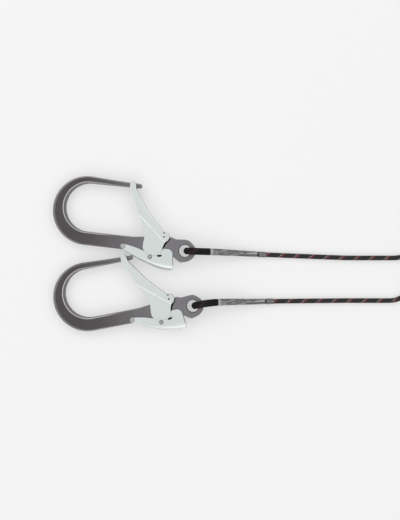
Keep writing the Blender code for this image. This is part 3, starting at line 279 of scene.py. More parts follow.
def tail_points(turn):
    """From the coil over its own turns to the end sleeve."""
    centre = coil_centre(turn)
    exit_y = centre.y - turn * coil_radius(COIL_TURNS - turns_done(turn))
    crossing = COIL_LIFT + 1.55 * ROPE_D
    landed = end_points(turn)[-2]
    points = [Vector((centre.x + 14.0 * MM, exit_y, crossing))]
    for ahead, aside, down in ((32.0, 0.9, 0.0), (50.0, 3.0, 2.0), (66.0, 4.6, 5.8)):
        points.append(Vector((centre.x + ahead * MM, exit_y + turn * aside * MM, crossing - down * MM)))
    points.append(landed + Vector((-10.8, turn * 1.7, 0.2)) * MM)
    return [*points, landed]


endings = {side: smooth_line(end_points(TURN[side])) for side in TURN}
print("from the link outward each leg is drawn for", round(length_of(endings["upper"]), 3), "m")

# %% [markdown]
# ## Skins from a flat grid
# Ropes, sleeves, forged bars and rods are all skins laid through rings. A flat grid is rolled up: each of
# its rows becomes one ring, and its two long edges meet and are merged. The grid brings its own UV map,
# whose second coordinate is stretched here to metres along the line, so that a weave keeps its scale.

# %% Steps in edit mode


def only(piece):
    """Make one piece the selected and active one."""
    bpy.ops.object.select_all(action="DESELECT")
    piece.select_set(True)
    bpy.context.view_layer.objects.active = piece
    return piece


def edit(piece, *steps):
    """Run some edit-mode steps with the whole mesh selected before each."""
    only(piece)
    bpy.ops.object.mode_set(mode="EDIT")
    for step in steps:
        bpy.ops.mesh.select_all(action="SELECT")
        step()
    bpy.ops.object.mode_set(mode="OBJECT")
    return piece


def merge():
    bpy.ops.mesh.remove_doubles(threshold=1e-6)


def close_ends():
    bpy.ops.mesh.fill_holes(sides=0)


def face_out():
    bpy.ops.mesh.normals_make_consistent(inside=False)


print("steps in edit mode are ready")

# %% Rolled skins


def laid(name, rows):
    """A grid whose rows of corners are laid on the given rows of points."""
    bpy.ops.object.select_all(action="DESELECT")
    around, along = len(rows[0]) - 1, len(rows) - 1
    bpy.ops.mesh.primitive_grid_add(x_subdivisions=around, y_subdivisions=along, size=1.0)
    piece = bpy.context.object
    piece.name = piece.data.name = name
    flat = np.zeros(len(piece.data.vertices) * 3)
    piece.data.vertices.foreach_get("co", flat)
    flat = flat.reshape(-1, 3)
    column = np.rint((flat[:, 0] + 0.5) * around).astype(int)
    row = np.rint((flat[:, 1] + 0.5) * along).astype(int)
    piece.data.vertices.foreach_set("co", np.array(rows)[row, column].ravel())
    middle = np.array(rows).mean(axis=1)
    metres = np.concatenate([[0.0], np.cumsum(np.linalg.norm(np.diff(middle, axis=0), axis=1))])
    uv = piece.data.uv_layers[0].data
    values = np.zeros(len(uv) * 2)
    uv.foreach_get("uv", values)
    values[1::2] = np.interp(values[1::2] * along, np.arange(along + 1), metres)
    uv.foreach_set("uv", values)
    return piece


def skin(name, rings, closed=False):
    """A grid rolled up through rings of points; closed joins its last ring to its first."""
    rows = [[*ring, ring[0]] for ring in rings]
    piece = laid(name, [*rows, rows[0]] if closed else rows)
    edit(piece, merge, *([] if closed else [close_ends]), face_out)
    return piece


print("rolled skins are ready")

# %% Rings along a line


def circle(sides, shift=0.0):
    """Angles evenly round a full turn."""
    return [2.0 * math.pi * (k + shift) / sides for k in range(sides)]


def directions(line):
    """At each point of a line, its heading and two directions square to it, with the least twist."""
    headings = []
    for k in range(len(line)):
        headings.append((line[min(k + 1, len(line) - 1)] - line[max(k - 1, 0)]).normalized())
    side = headings[0].cross(Vector((0.0, 0.0, 1.0)))
    side = (side if side.length > 0.1 else Vector((0.0, 1.0, 0.0))).normalized()
    made = []
    for heading in headings:
        side = (side - heading * side.dot(heading)).normalized()
        made.append((heading, side, side.cross(heading)))
    return made


def round_rings(line, radius, sides):
    """Circles along a line."""
    rings = []
    for point, (_, side, up) in zip(line, directions(line)):
        turns = [side * radius * math.cos(a) + up * radius * math.sin(a) for a in circle(sides)]
        rings.append([point + way for way in turns])
    return rings


print("the corners of a hexagon stand", round(math.degrees(circle(6)[1])), "degrees apart")

# %% Shade, place and declare


def soft_shading(piece, degrees=40.0):
    only(piece)
    bpy.ops.object.shade_smooth_by_angle(angle=math.radians(degrees))
    return piece


def place(piece, matrix=None):
    """Move a piece's mesh by a matrix; its object stays at the origin."""
    piece.data.transform(Matrix.Translation(-ORIGIN) if matrix is None else matrix)
    return piece


def joined(piece, other):
    """Both pieces as one object."""
    only(piece)
    other.select_set(True)
    bpy.ops.object.join()
    return piece


def declare(piece, body, slot, *nodes):
    """The body that a piece rides on, its material slot (not used) and the CAD nodes that it takes the place
    of.
    """
    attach(piece, body)
    if nodes:
        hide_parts(*nodes)
    return piece


print("pieces can be shaded, placed and declared")

# %% [markdown]
# ## Braided rope
# The rope is an 8 mm line: a core in a braided cover of sixteen yarns. Eight yarns lean each way and pass
# over and under each other, and two neighbours of one direction, a red and a grey one, mark it. The tube is
# fine enough for its own points to rise and fall with the yarns, and the finish repeats the same braid
# from the UV map for its colours and fine fibres.

# %% Braid as a shape
YARNS, ROPE_SIDES = 8, 32
YARN_PITCH = 25.0 * MM


def braid_height(u, v, yarns, pitch):
    """0 in the grooves of the braid, 1 on top of a yarn."""
    a, b = yarns * (u + v / pitch), yarns * (u - v / pitch)
    over = (np.floor(a) + np.floor(b)) % 2.0
    across = np.where(over < 0.5, a % 1.0, b % 1.0)
    return np.sin(np.pi * across) ** 0.6


def rope_rings(line, radius=0.5 * ROPE_D, yarns=YARNS, pitch=YARN_PITCH, depth=0.32 * MM, pinch=0.0):
    """Circles along the rope whose radius follows the braid; pinch narrows the last 6 mm of both ends."""
    frames = directions(line)
    metres = np.concatenate([[0.0], np.cumsum([(b - a).length for a, b in zip(line, line[1:])])])
    u = np.arange(ROPE_SIDES) / ROPE_SIDES
    to_end = np.minimum(metres, metres[-1] - metres)
    middle_r = radius - pinch * np.clip(1.0 - to_end / (6.0 * MM), 0.0, 1.0)
    reach = middle_r[:, None] - depth * (1.0 - braid_height(u[None, :], metres[:, None], yarns, pitch))
    side, up = np.array([f[1] for f in frames]), np.array([f[2] for f in frames])
    cos, sin = np.cos(2.0 * math.pi * u), np.sin(2.0 * math.pi * u)
    round_about = side[:, None] * cos[:, None] + up[:, None] * sin[:, None]
    return np.array(line)[:, None] + reach[..., None] * round_about


ropes, rope_lines = {}, {}
sleeve_start = LOOP_LENGTH + 2.0 * GAP
rope_start = sleeve_start + SLEEVE_LENGTH
for side, turn in TURN.items():
    tail = tail_points(turn)
    tail.append(tail[-1] + Vector((math.cos(LINK_ANGLE), -turn * math.sin(LINK_ANGLE), 0.0)) * 5.0 * MM)
    leg = smooth_line([*lead_points(ROUTES[side], turn), *coil_points(turn)[1:], *tail])
    line = spaced(stretch_of(leg, rope_start - 6.0 * MM, length_of(leg)), 0.7 * MM)
    rope_lines[side] = [point - ORIGIN for point in line]
    ropes[side] = soft_shading(place(skin(f"{side}_braided_rope", rope_rings(line))), 80.0)
    print(ropes[side].name, round(length_of(line), 3), "m,", len(ropes[side].data.polygons), "faces")

for side, rope in ropes.items():
    line = rope_lines[side]
    declare(rope, "lanyard", "rope", f"{side}_rope", f"{side}_coil", f"{side}_tail_rope")
print("both ropes go from the hook's sleeve into the end sleeve at the link")

# %% [markdown]
# ## Finishes from nodes
# A finish is a small tree of nodes that ends in one shader. A few short helpers add nodes, work out
# numbers, mix colours and raise a bump. What is the same all over a piece stands on the shader's sockets.

# %% Nodes and numbers


def add(tree, kind, inputs=None, **settings):
    """One node; inputs gives its sockets a value or another node's output."""
    node = tree.nodes.new("ShaderNode" + kind)
    for name, value in settings.items():
        setattr(node, name, value)
    for name, value in (inputs or {}).items():
        if isinstance(value, bpy.types.NodeSocket):
            tree.links.new(value, node.inputs[name])
        else:
            node.inputs[name].default_value = value
    return node


def calc(tree, operation, *values):
    """A number worked out from others."""
    return add(tree, "Math", dict(enumerate(values)), operation=operation).outputs[0]


def times(tree, *values):
    """The product of several numbers."""
    product = values[0]
    for value in values[1:]:
        product = calc(tree, "MULTIPLY", product, value)
    return product


def less(tree, first, second):
    """The first number less the second."""
    return calc(tree, "SUBTRACT", first, second)


def split(tree, vector):
    """The three numbers of a vector."""
    return add(tree, "SeparateXYZ", {0: vector}).outputs


def between(tree, value, low, high, out_low=0.0, out_high=1.0):
    """The value's place between low and high, as a soft step."""
    inputs = {"Value": value, 1: low, 2: high, 3: out_low, 4: out_high}
    return add(tree, "MapRange", inputs, interpolation_type="SMOOTHSTEP").outputs[0]


print("nodes for numbers are ready")

# %% Colours, noise and bumps


def mix(tree, share, first, second):
    """A colour between two."""
    inputs = {0: share, 6: first, 7: second}
    return add(tree, "Mix", inputs, data_type="RGBA").outputs[2]


def noise(tree, vector, scale, detail=2.0, roughness=0.5):
    inputs = {"Vector": vector, "Scale": scale, "Detail": detail, "Roughness": roughness}
    return add(tree, "TexNoise", inputs).outputs[0]


def bump(tree, height, distance, strength=1.0, below=None):
    inputs = {"Height": height, "Distance": distance, "Strength": strength}
    if below is not None:
        inputs["Normal"] = below
    return add(tree, "Bump", inputs).outputs[0]


def grey(tone, alpha=1.0):
    return (tone, tone, tone, alpha)


print("nodes for colours and relief are ready")

# %% Materials and the places they read


def finish(name, **sockets):
    """A new material; its sockets are given as words joined by underscores."""
    made = bpy.data.materials.new(name)
    made.use_nodes = True
    shader = made.node_tree.nodes["Principled BSDF"]
    for socket, value in sockets.items():
        shader.inputs[socket.replace("_", " ")].default_value = value
    return made, made.node_tree, shader


def feed(tree, shader, **links):
    for socket, output in links.items():
        tree.links.new(output, shader.inputs[socket.replace("_", " ")])


def dress(piece, material):
    piece.data.materials.clear()
    piece.data.materials.append(material)
    return piece


def objects_place(tree):
    return add(tree, "TexCoord").outputs["Object"]


def uv_map(tree):
    """The place in the unrolled skin: its share of the way round, and metres along."""
    return add(tree, "UVMap").outputs[0]


def scaled(tree, vector, *scale):
    """A place stretched along its axes, for a pattern with a direction."""
    return add(tree, "Mapping", {"Vector": vector, "Scale": scale}).outputs[0]


print("materials are ready")

# %% [markdown]
# ## The rope's finish
# The tree works out the same two families of yarns as the shape did. Where the first family is on top the
# colour comes from its yarns, where the second is on top from the other's, and one red and one grey yarn of
# the second family wind round the rope as its tracer. Along each yarn run fine fibres.

# %% Rope finish


def crossing_yarns(tree, first, second):
    """Returns (1 where the second family of yarns is on top, the round height across the top yarn)."""
    cells = calc(tree, "ADD", calc(tree, "FLOOR", first), calc(tree, "FLOOR", second))
    second_on_top = calc(tree, "FLOORED_MODULO", cells, 2.0)
    places = {0: second_on_top, 2: calc(tree, "FRACT", first), 3: calc(tree, "FRACT", second)}
    across = add(tree, "Mix", places).outputs[0]
    return second_on_top, calc(tree, "SINE", times(tree, across, math.pi))


def braid_nodes(tree, yarns, pitch):
    """Returns (where the marked family is on top, height across the yarn, number of that family's yarn)."""
    round_it, metres, _ = split(tree, uv_map(tree))
    along = calc(tree, "DIVIDE", metres, pitch)
    first = times(tree, calc(tree, "ADD", round_it, along), yarns)
    second = times(tree, less(tree, round_it, along), yarns)
    on_top, crown = crossing_yarns(tree, first, second)
    return on_top, crown, calc(tree, "FLOORED_MODULO", calc(tree, "FLOOR", second), yarns)


def marked_yarn(tree, yarn, number, on_top):
    """1 on one yarn of the marked family, where that family is on top."""
    return times(tree, calc(tree, "COMPARE", yarn, number, 0.4), on_top)


rope_finish, tree, shader = finish("braided_rope", Roughness=0.8, Specular_IOR_Level=0.3,
                                   Sheen_Weight=0.1, Sheen_Roughness=0.4)
on_top, crown, yarn = braid_nodes(tree, YARNS, YARN_PITCH)
fibres = noise(tree, scaled(tree, uv_map(tree), 260, 2600, 1), 1.0)
colour = mix(tree, fibres, (0.006, 0.005, 0.006, 1), (0.045, 0.042, 0.044, 1))
colour = mix(tree, marked_yarn(tree, yarn, 2.0, on_top), colour, (0.36, 0.035, 0.045, 1))
colour = mix(tree, marked_yarn(tree, yarn, 3.0, on_top), colour, (0.30, 0.29, 0.28, 1))
# Painted shade: the grooves between the yarns are painted darker.
colour = mix(tree, calc(tree, "POWER", crown, 0.5), mix(tree, 0.75, colour, grey(0.0)), colour)
feed(tree, shader, Base_Color=colour, Normal=bump(tree, fibres, 0.0002, 0.6, bump(tree, crown, 0.0003, 0.5)))
for rope in ropes.values():
    dress(rope, rope_finish)
print("rope finish has", len(tree.nodes), "nodes")

# %% [markdown]
# ## Solid shapes from outlines
# Forged and pressed parts are drawn as flat outlines first. A filled circle brings the right number of
# points, they move onto the outline, and one extrusion gives the thickness. The Bevel modifier then rounds
# only the rims, because its angle limit leaves the small angles along a curved side alone. Holes and
# grooves are cut with Booleans, as a drill or a mill would cut them. The exact solver is the usual one, and
# the manifold one serves the folded sheets and the connector, whose thin walls and thread defeat the first.

# %% Outlines


def mm(*points, about=(0.0, 0.0)):
    """Points written in millimetres from a named place."""
    return [Vector((about[0] + x * MM, about[1] + y * MM)) for x, y in points]


def arc(centre, radius, start, end, steps):
    """Points on a round stretch, from start to end in degrees."""
    turns = [math.radians(start + (end - start) * k / steps) for k in range(steps + 1)]
    return [Vector((centre[0] + radius * math.cos(a), centre[1] + radius * math.sin(a))) for a in turns]


def disc(centre, radius):
    """The outline of a round plate."""
    return arc(centre, radius, 0, 352.5, 47)


def softened(points, cut, steps=3):
    """An outline with each corner rounded from a cut's length before it to as far after it."""
    made = []
    for k, corner in enumerate(points):
        before, after = points[k - 1] - corner, points[(k + 1) % len(points)] - corner
        start, end = (corner + way * min(0.48, cut / way.length) for way in (before, after))
        for t in [j / steps for j in range(steps + 1)]:
            made.append(start * (1.0 - t) ** 2 + corner * 2.0 * t * (1.0 - t) + end * t**2)
    return made


def beside(points, distance):
    """The line beside a row of points, to its left for a positive distance."""
    made = []
    for k, point in enumerate(points):
        before = (point - points[k - 1]).normalized() if k else (points[1] - point).normalized()
        after = (points[k + 1] - point).normalized() if k + 1 < len(points) else before
        along = (before + after).normalized()
        made.append(point + Vector((-along.y, along.x)) * distance / max(0.5, along.dot(after)))
    return made


square = softened(mm((0.0, 0.0), (10.0, 0.0), (10.0, 10.0), (0.0, 10.0)), 2.0 * MM)
print("a square with round corners has", len(square), "points")

# %% Modifiers


def modified(piece, kind, **settings):
    """Add a modifier, set it up and apply it."""
    only(piece)
    bpy.ops.object.modifier_add(type=kind)
    modifier = piece.modifiers[-1]
    for name, value in settings.items():
        setattr(modifier, name, value)
    bpy.ops.object.modifier_apply(modifier=modifier.name)
    return piece


def rounded(piece, width, segments=2, degrees=50.0):
    """Round the edges that are sharper than an angle."""
    return modified(piece, "BEVEL", width=width, segments=segments, limit_method="ANGLE",
                    angle_limit=math.radians(degrees), use_clamp_overlap=False)


def combined(piece, operation, *others, solver="EXACT"):
    """Join pieces to this one, or cut them from it."""
    for other in others:
        modified(piece, "BOOLEAN", operation=operation, object=other, solver=solver)
        bpy.data.objects.remove(other, do_unlink=True)
    return piece


print("bevels and Booleans are ready")

# %% Plates and turned pieces


def plate(name, outline, low, high, rounding=0.0, segments=2):
    """A flat outline between two heights, its rims rounded."""
    bpy.ops.object.select_all(action="DESELECT")
    bpy.ops.mesh.primitive_circle_add(vertices=len(outline), fill_type="NGON")
    piece = bpy.context.object
    piece.name = piece.data.name = name
    for vertex, point in zip(piece.data.vertices, outline):
        vertex.co = (point.x, point.y, low)
    lift = {"value": (0.0, 0.0, high - low)}
    edit(piece, lambda: bpy.ops.mesh.extrude_region_move(TRANSFORM_OT_translate=lift), merge, face_out)
    return rounded(piece, rounding, segments) if rounding else piece


def both_sides(name, outline, low, high, rounding=0.0):
    """The same plate above and below the middle plane."""
    return (plate(name + "_above", outline, low, high, rounding),
            plate(name + "_below", outline, -high, -low, rounding))


def turned(name, profile, centre=(0.0, 0.0), sides=48):
    """A turned piece about an upright axis, from (radius, height) points."""
    turns = [(math.cos(a), math.sin(a)) for a in circle(sides)]
    rings = [[Vector((centre[0] + radius * c, centre[1] + radius * s, height)) for c, s in turns]
             for radius, height in profile]
    return skin(name, rings)


def bore(name, radius, reach, centre):
    """A cutter for a hole through the middle plane."""
    return turned(name, [(radius, -reach), (radius, reach)], centre)


def crisp(piece, degrees=35.0):
    """Smooth shading whose flat faces stay flat."""
    soft_shading(piece, degrees)
    return modified(piece, "WEIGHTED_NORMAL", keep_sharp=True, weight=80)


print("plates, turned pieces and bores are ready")

# %% [markdown]
# ## One hook, used twice
# Both hooks are the same article, so each piece is made once in the hook's own frame: the eye's centre is
# the origin, the bow lies at -X and the nose at +Y. A copy with its own mesh goes to each hook. Before it
# moves, the piece stores its own coordinates in an attribute, because the finishes change along the hook,
# and their patterns then sit the same on both.

# %% Both hooks
HOOK_FRAMES = {}
for side, eye, yaw in (("upper", ROUTES["upper"][0], -6.6), ("lower", ROUTES["lower"][0], 10.9)):
    stand = Vector((eye[0] * MM, eye[1] * MM, EYE_Z)) - ORIGIN
    turn = Matrix.Rotation(math.radians(yaw), 4, "Z") @ Matrix.Rotation(-HOOK_PITCH, 4, "Y")
    HOOK_FRAMES[side] = Matrix.Translation(stand) @ turn


def copied(piece, name):
    """A copy with its own mesh."""
    only(piece)
    bpy.ops.object.duplicate()
    made = bpy.context.object
    made.name = made.data.name = name
    return made


def keep_local(piece):
    """Store where each point is in the piece's own frame."""
    places = np.zeros(len(piece.data.vertices) * 3)
    piece.data.vertices.foreach_get("co", places)
    piece.data.attributes.new("local", "FLOAT_VECTOR", "POINT").data.foreach_set("vector", places)
    return piece


def on_both_hooks(model, node, body, slot, material):
    """A copy of a finished piece on each hook, in place of a CAD node."""
    dress(keep_local(model), material)
    for side, hook_frame in HOOK_FRAMES.items():
        piece = place(copied(model, f"{side}_{model.name}"), hook_frame)
        declare(piece, f"{side}_{body}", slot, f"{side}_hook_{node}")
    print(model.name, len(model.data.polygons), "faces, twice")
    bpy.data.objects.remove(model, do_unlink=True)


def local_place(tree):
    return add(tree, "Attribute", attribute_name="local").outputs["Vector"]


print("the hooks' frames are ready")

# %% [markdown]
# ## Forged hook body
# The body is one forging: a bar that is flat and broad round the bow, thin along the spine, and swells into
# a neck with the eye for the rope. It could be cut from a block, but a forging has drawn-out edges, so the
# bar is a skin through many sections with wide chamfers. The neck, the ring and the lug that carries the
# gate are plates joined to it, and the crescent beside the lug gives the gate's boss room to turn.

# %% Sizes of the hook
SPINE_TOP, SPINE_LOW, SPINE_HALF = 13.3 * MM, -9.2 * MM, 6.0 * MM
BOW_OUT, BOW_OUT_R = Vector((-168.5, 47.8)) * MM, 57.0 * MM
BOW_IN, BOW_IN_R = Vector((-164.5, 53.3)) * MM, 40.0 * MM
NOSE_X, NOSE_W, NOSE_LOW = -82.6 * MM, 7.2 * MM, 94.3 * MM
GATE_PIVOT = Vector((-36.3, 18.7)) * MM
LEVER_PIVOT = Vector((-102.2, -4.0)) * MM
LOCK_PIN = Vector((-55.9, -16.4)) * MM
HEAD = Vector((-97.0, 97.9)) * MM
SHEET = 1.7 * MM
LEVER_IN = SPINE_HALF + GAP
LEVER_OUT = LEVER_IN + SHEET
PLATE_IN = LEVER_OUT + 0.4 * MM
PLATE_OUT = PLATE_IN + SHEET
ARM_OUT = PLATE_OUT + 1.0 * MM
BOW_HALF = PLATE_IN - 0.5 * MM
NOSE_HALF = BOW_HALF - 1.0 * MM
GATE_RIVET_R, LEVER_RIVET_R, LOCK_PIN_R = 3.0 * MM, 2.3 * MM, 2.2 * MM
GATE_TURN, LEVER_TURN = 45.0, 5.0
print("bow", round(BOW_IN_R / MM, 1), "mm inside, spine", round(2.0 * SPINE_HALF / MM, 1), "mm thick")

# %% Bar of the hook


def bar_section(outer, inner, half, chamfer, edge):
    """An eight-sided section between two edges of the bar, its corners softened."""
    across = outer - inner
    wide = across.length
    corners = [(wide - chamfer, half), (wide, half - edge), (wide, edge - half), (wide - chamfer, -half)]
    corners += [(chamfer, -half), (0.0, edge - half), (0.0, half - edge), (chamfer, half)]
    section = softened([Vector(corner) for corner in corners], 0.55 * MM, 2)
    return [Vector((*(inner + across * (p.x / wide)), p.y)) for p in section]


def bar_sections():
    """From the rounded nose along the arm, round the bow and along the spine into the neck."""
    nose_mid = NOSE_LOW + 0.5 * NOSE_W
    arm_top, arm_low = BOW_OUT.y + BOW_OUT_R, BOW_IN.y + BOW_IN_R
    sections = []
    for k in range(9):
        share = math.sin(0.5 * math.pi * (0.18 + 0.82 * k / 8))
        x = NOSE_X - 3.4 * MM * (1.0 - math.cos(0.5 * math.pi * k / 8))
        rise, cut = 0.5 * NOSE_W * share, 2.2 * MM * share
        outer, inner = Vector((x, nose_mid + rise)), Vector((x, nose_mid - rise))
        sections.append(bar_section(outer, inner, NOSE_HALF * (0.7 + 0.3 * share), cut, cut))
    for k in range(1, 16):
        share = (3.4 + (-(BOW_IN.x - NOSE_X) / MM - 3.4) * k / 16) * MM / (NOSE_X - BOW_IN.x)
        x = NOSE_X + (BOW_IN.x - NOSE_X) * share
        outer = Vector((x, nose_mid + 0.5 * NOSE_W + (arm_top - nose_mid - 0.5 * NOSE_W) * share**1.6))
        inner = Vector((x, NOSE_LOW + (arm_low - NOSE_LOW) * share))
        half = NOSE_HALF + (BOW_HALF - NOSE_HALF) * share
        sections.append(bar_section(outer, inner, half, 2.3 * MM, 2.2 * MM))
    steps = 64
    outside, inside = (arc(*bow, 90, 270, steps) for bow in ((BOW_OUT, BOW_OUT_R), (BOW_IN, BOW_IN_R)))
    for k, (outer, inner) in enumerate(zip(outside, inside)):
        swell = math.sin(math.pi * k / steps)
        sections.append(bar_section(outer, inner, BOW_HALF, (2.3 + 2.2 * swell) * MM, (2.2 + swell) * MM))
    thin = BOW_IN.x + 45.0 * MM
    for k in range(1, 13):
        x = BOW_IN.x + (thin - BOW_IN.x) * k / 12
        half = BOW_HALF + (SPINE_HALF - BOW_HALF) * ease(k / 12)
        cut = (2.3 - 0.8 * ease(k / 12)) * MM
        sections.append(bar_section(Vector((x, SPINE_LOW)), Vector((x, SPINE_TOP)), half, cut, cut))
    lifts = (-100.0, 0.0), (-87.0, 0.2), (-78.0, 1.3), (-69.0, 2.2), (-56.0, 2.6), (-43.9, 2.8), (-32.3, -6.0)
    for x, lift in lifts:
        outer, inner = Vector((x * MM, SPINE_LOW)), Vector((x * MM, SPINE_TOP + lift * MM))
        sections.append(bar_section(outer, inner, SPINE_HALF, 1.5 * MM, 1.5 * MM))
    return sections


forged_body = skin("forged_body", bar_sections())
print("bar of the hook:", len(forged_body.data.polygons), "faces")

# %% Neck and ring in one plate
head_outline = mm((-36.3, -8.2), (-18.6, -11.4), (-17.2, -12.5), (-6.0, -20.1), (2.2, -18.3), (7.4, -16.6),
                  (12.4, -12.9), (15.8, -8.6), (17.8, -3.6), (18.3, 0.5), (17.6, 4.6), (15.2, 8.9),
                  (9.8, 14.1), (4.7, 17.7), (-0.6, 18.5), (-16.6, 17.3), (-18.9, 17.9), (-25.0, 20.5),
                  (-36.3, 6.6))
neck_and_ring = plate("neck_and_ring", softened(head_outline, 2.0 * MM), -SPINE_HALF, SPINE_HALF)


def cut_across(at_x):
    """A cut through all faces, so that the plate can bend there."""
    bpy.ops.mesh.bisect(plane_co=(at_x, 0.0, 0.0), plane_no=(1.0, 0.0, 0.0))


THIN_FROM, THIN_OVER = -17.1, 9.2
edit(neck_and_ring, *[lambda at_x=x * MM: cut_across(at_x) for x in np.arange(-17.0, -7.9, 0.75)])
for vertex in neck_and_ring.data.vertices:
    thinner = (1.0 - RING_HALF / SPINE_HALF) * ease((vertex.co.x / MM - THIN_FROM) / THIN_OVER)
    vertex.co.z *= 1.0 - thinner
rounded(neck_and_ring, 1.1 * MM, 3)
lug = plate("lug", disc(GATE_PIVOT, 7.6 * MM), -SPINE_HALF, SPINE_HALF, 0.5 * MM)
combined(forged_body, "UNION", neck_and_ring, lug)
print("with neck, ring and lug:", len(forged_body.data.polygons), "faces")

# %% Groove, eye and holes
groove = mm((6.5, 5.5), (11.6, 4.6), (10.0, -3.4), (6.7, -8.0), (3.7, -12.7), (1.6, -18.4), (-1.4, -18.4),
            (0.2, -9.5), (6.5, -5.5), (7.9, 0.0), about=GATE_PIVOT)
groove = softened(groove, 1.5 * MM)
GROOVE_FLOOR, above = SPINE_HALF - 2.6 * MM, SPINE_HALF + 1.0 * MM
eye_profile = []
for k in range(17):
    height = above * (k / 8 - 1.0)
    flare = max(0.0, (abs(height) / MM - 2.6) / 4.4) ** 1.6
    eye_profile.append((EYE_R + 2.6 * MM * flare, height))
combined(
    forged_body,
    "DIFFERENCE",
    *both_sides("groove", groove, GROOVE_FLOOR, above),
    turned("eye", eye_profile, sides=72),
    bore("gate_hole", GATE_RIVET_R + GAP, above, GATE_PIVOT),
    bore("lever_hole", LEVER_RIVET_R + GAP, above, LEVER_PIVOT),
)
crisp(forged_body, 30.0)
print("forged body:", len(forged_body.data.polygons), "faces")

# %% [markdown]
# ## Blackened steel
# The forging is shot-blasted and zinc-coated dark, so it is a metal with a fine grain. It is painted darker
# and a little redder round the bow and paler on the neck: the red tint is the steel's, the darker bow and the
# paler neck are painted shade and light. A second, finer noise breaks up the gloss. The chamfers, found by
# the surface's lean, get a painted highlight. The ridge round the inside of the bow gets the brightest
# painted
# highlight: it is found by its distance from the opening's middle line. The groove beside the lug is painted
# black as its shade.

# %% Finish of the forging


def lean_of(tree):
    """0 on faces square to the object's Z axis, 1 on upright sides."""
    normal = add(tree, "NewGeometry").outputs["Normal"]
    return less(tree, 1.0, calc(tree, "ABSOLUTE", split(tree, normal)[2]))


BOW_PAINTED_SHADE, NECK_PAINTED_LIGHT = (0.090, 0.080, 0.083, 1), (0.225, 0.216, 0.23, 1)
CHAMFER_HIGHLIGHT, RIDGE_HIGHLIGHT, GROOVE_SHADE = (0.42, 0.41, 0.425, 1), (0.56, 0.555, 0.57, 1), (0.006, 0.006, 0.007, 1)
gunmetal, tree, shader = finish("blackened_steel", Metallic=0.9)
where = local_place(tree)
along, across, depth = split(tree, where)
# Painted shade and light: the bow is painted darker and the neck paler; the bow's slight red is the steel's.
tone = mix(tree, between(tree, along, -190.0 * MM, -35.0 * MM), BOW_PAINTED_SHADE, NECK_PAINTED_LIGHT)
cloud = noise(tree, where, 45.0, 3.0)
tone = mix(tree, times(tree, cloud, 0.35), tone, (0.04, 0.036, 0.04, 1))
lean = lean_of(tree)
# Painted highlight: faces that lean a little, the chamfers, are painted lighter.
chamfer_highlight_mask = times(tree, between(tree, lean, 0.06, 0.3), less(tree, 1.0, between(tree, lean, 0.55, 0.85)))
tone = mix(tree, times(tree, chamfer_highlight_mask, 0.75), tone, CHAMFER_HIGHLIGHT)
print("steel goes from", BOW_PAINTED_SHADE[:3], "to", NECK_PAINTED_LIGHT[:3])

# %% Painted highlight on the ridge and painted shade in the groove
back = calc(tree, "MAXIMUM", less(tree, BOW_IN.x, along), 0.0)
aside = less(tree, across, BOW_IN.y)
from_middle = calc(tree, "SQRT", calc(tree, "ADD", times(tree, back, back), times(tree, aside, aside)))
chamfer = times(tree, calc(tree, "DIVIDE", back, from_middle), 2.2 * MM)
off_ridge = calc(tree, "ABSOLUTE", less(tree, less(tree, from_middle, chamfer), BOW_IN_R + 1.9 * MM))
# Painted highlight: a bright line along the ridge round the inside of the bow.
ridge_highlight_mask = times(tree, between(tree, off_ridge, 1.0 * MM, 0.3 * MM),
              between(tree, along, -115.0 * MM, -155.0 * MM))
tone = mix(tree, ridge_highlight_mask, tone, RIDGE_HIGHLIGHT)
# Painted shade: the groove beside the lug is painted near black.
below_top = between(tree, calc(tree, "ABSOLUTE", depth), GROOVE_FLOOR, GROOVE_FLOOR + 1.2 * MM)
groove_shade_mask = times(tree, less(tree, 1.0, below_top), between(tree, along, -37.0 * MM, -36.0 * MM),
                  less(tree, 1.0, between(tree, lean, 0.3, 0.7)))
tone = mix(tree, groove_shade_mask, tone, GROOVE_SHADE)
grain = noise(tree, where, 2400.0, 2.0)
feed(tree, shader, Base_Color=tone, Roughness=between(tree, grain, 0.2, 0.8, 0.36, 0.5),
     Normal=bump(tree, grain, 0.00006, 0.6, bump(tree, cloud, 0.0004, 0.25)))
on_both_hooks(forged_body, "body", "hook", "forged_body", gunmetal)

# %% [markdown]
# ## Pressed gate
# The gate is one pressed sheet, folded along its outer edge so that a cheek lies on either side of the
# hook. The arm stands a millimetre prouder than the lower cheek, and the light finds that step. The folded
# solid is drawn as a thick plate with a well-rounded fold, and the room between the cheeks is milled out.
# Bevel weights decide how round each edge gets: the fold most, the step less, a sheared edge least.

# %% Edges of the gate
FOLD_R, STEPPED, SHEARED = 2.0 * MM, 0.75, 0.25
edge_ends = mm((-2.1, 8.5), (-26.4, 33.6), about=GATE_PIVOT) + mm((6.7, -7.8), about=HEAD)
outer_edge = [edge_ends[0], *softened(edge_ends, 14.0 * MM, 4)[5:10], edge_ends[2]]
head = mm((5.4, -2.0), (4.5, 3.0), (2.0, 7.0), (-1.2, 8.3), (-3.5, 6.5), (-5.2, 1.0), (-4.8, -4.8),
          about=HEAD)
inner_edge = mm((-52.0, 46.4), (-45.2, 30.6), (1.7, -9.6), about=GATE_PIVOT)
boss_edge = arc(GATE_PIVOT, 8.6 * MM, -55, 100, 30)


def near_line(point, line, reach=0.3 * MM):
    """Whether a flat point lies within reach of a row of straight runs."""
    for a, b in zip(line, line[1:]):
        run = b - a
        share = min(1.0, max(0.0, (point - a).dot(run) / run.length_squared))
        if (a + run * share - point).length < reach:
            return True
    return False


def weigh_edges(piece, weight_of):
    """Give each rim edge a bevel weight by a function of its middle point."""
    mesh = piece.data
    weights = mesh.attributes.new("bevel_weight_edge", "FLOAT", "EDGE")
    for edge in mesh.edges:
        a, b = (mesh.vertices[k].co for k in edge.vertices)
        level = abs(a.z - b.z) < 1e-6
        weights.data[edge.index].value = weight_of(0.5 * (a + b)) if level else 0.0
    return piece


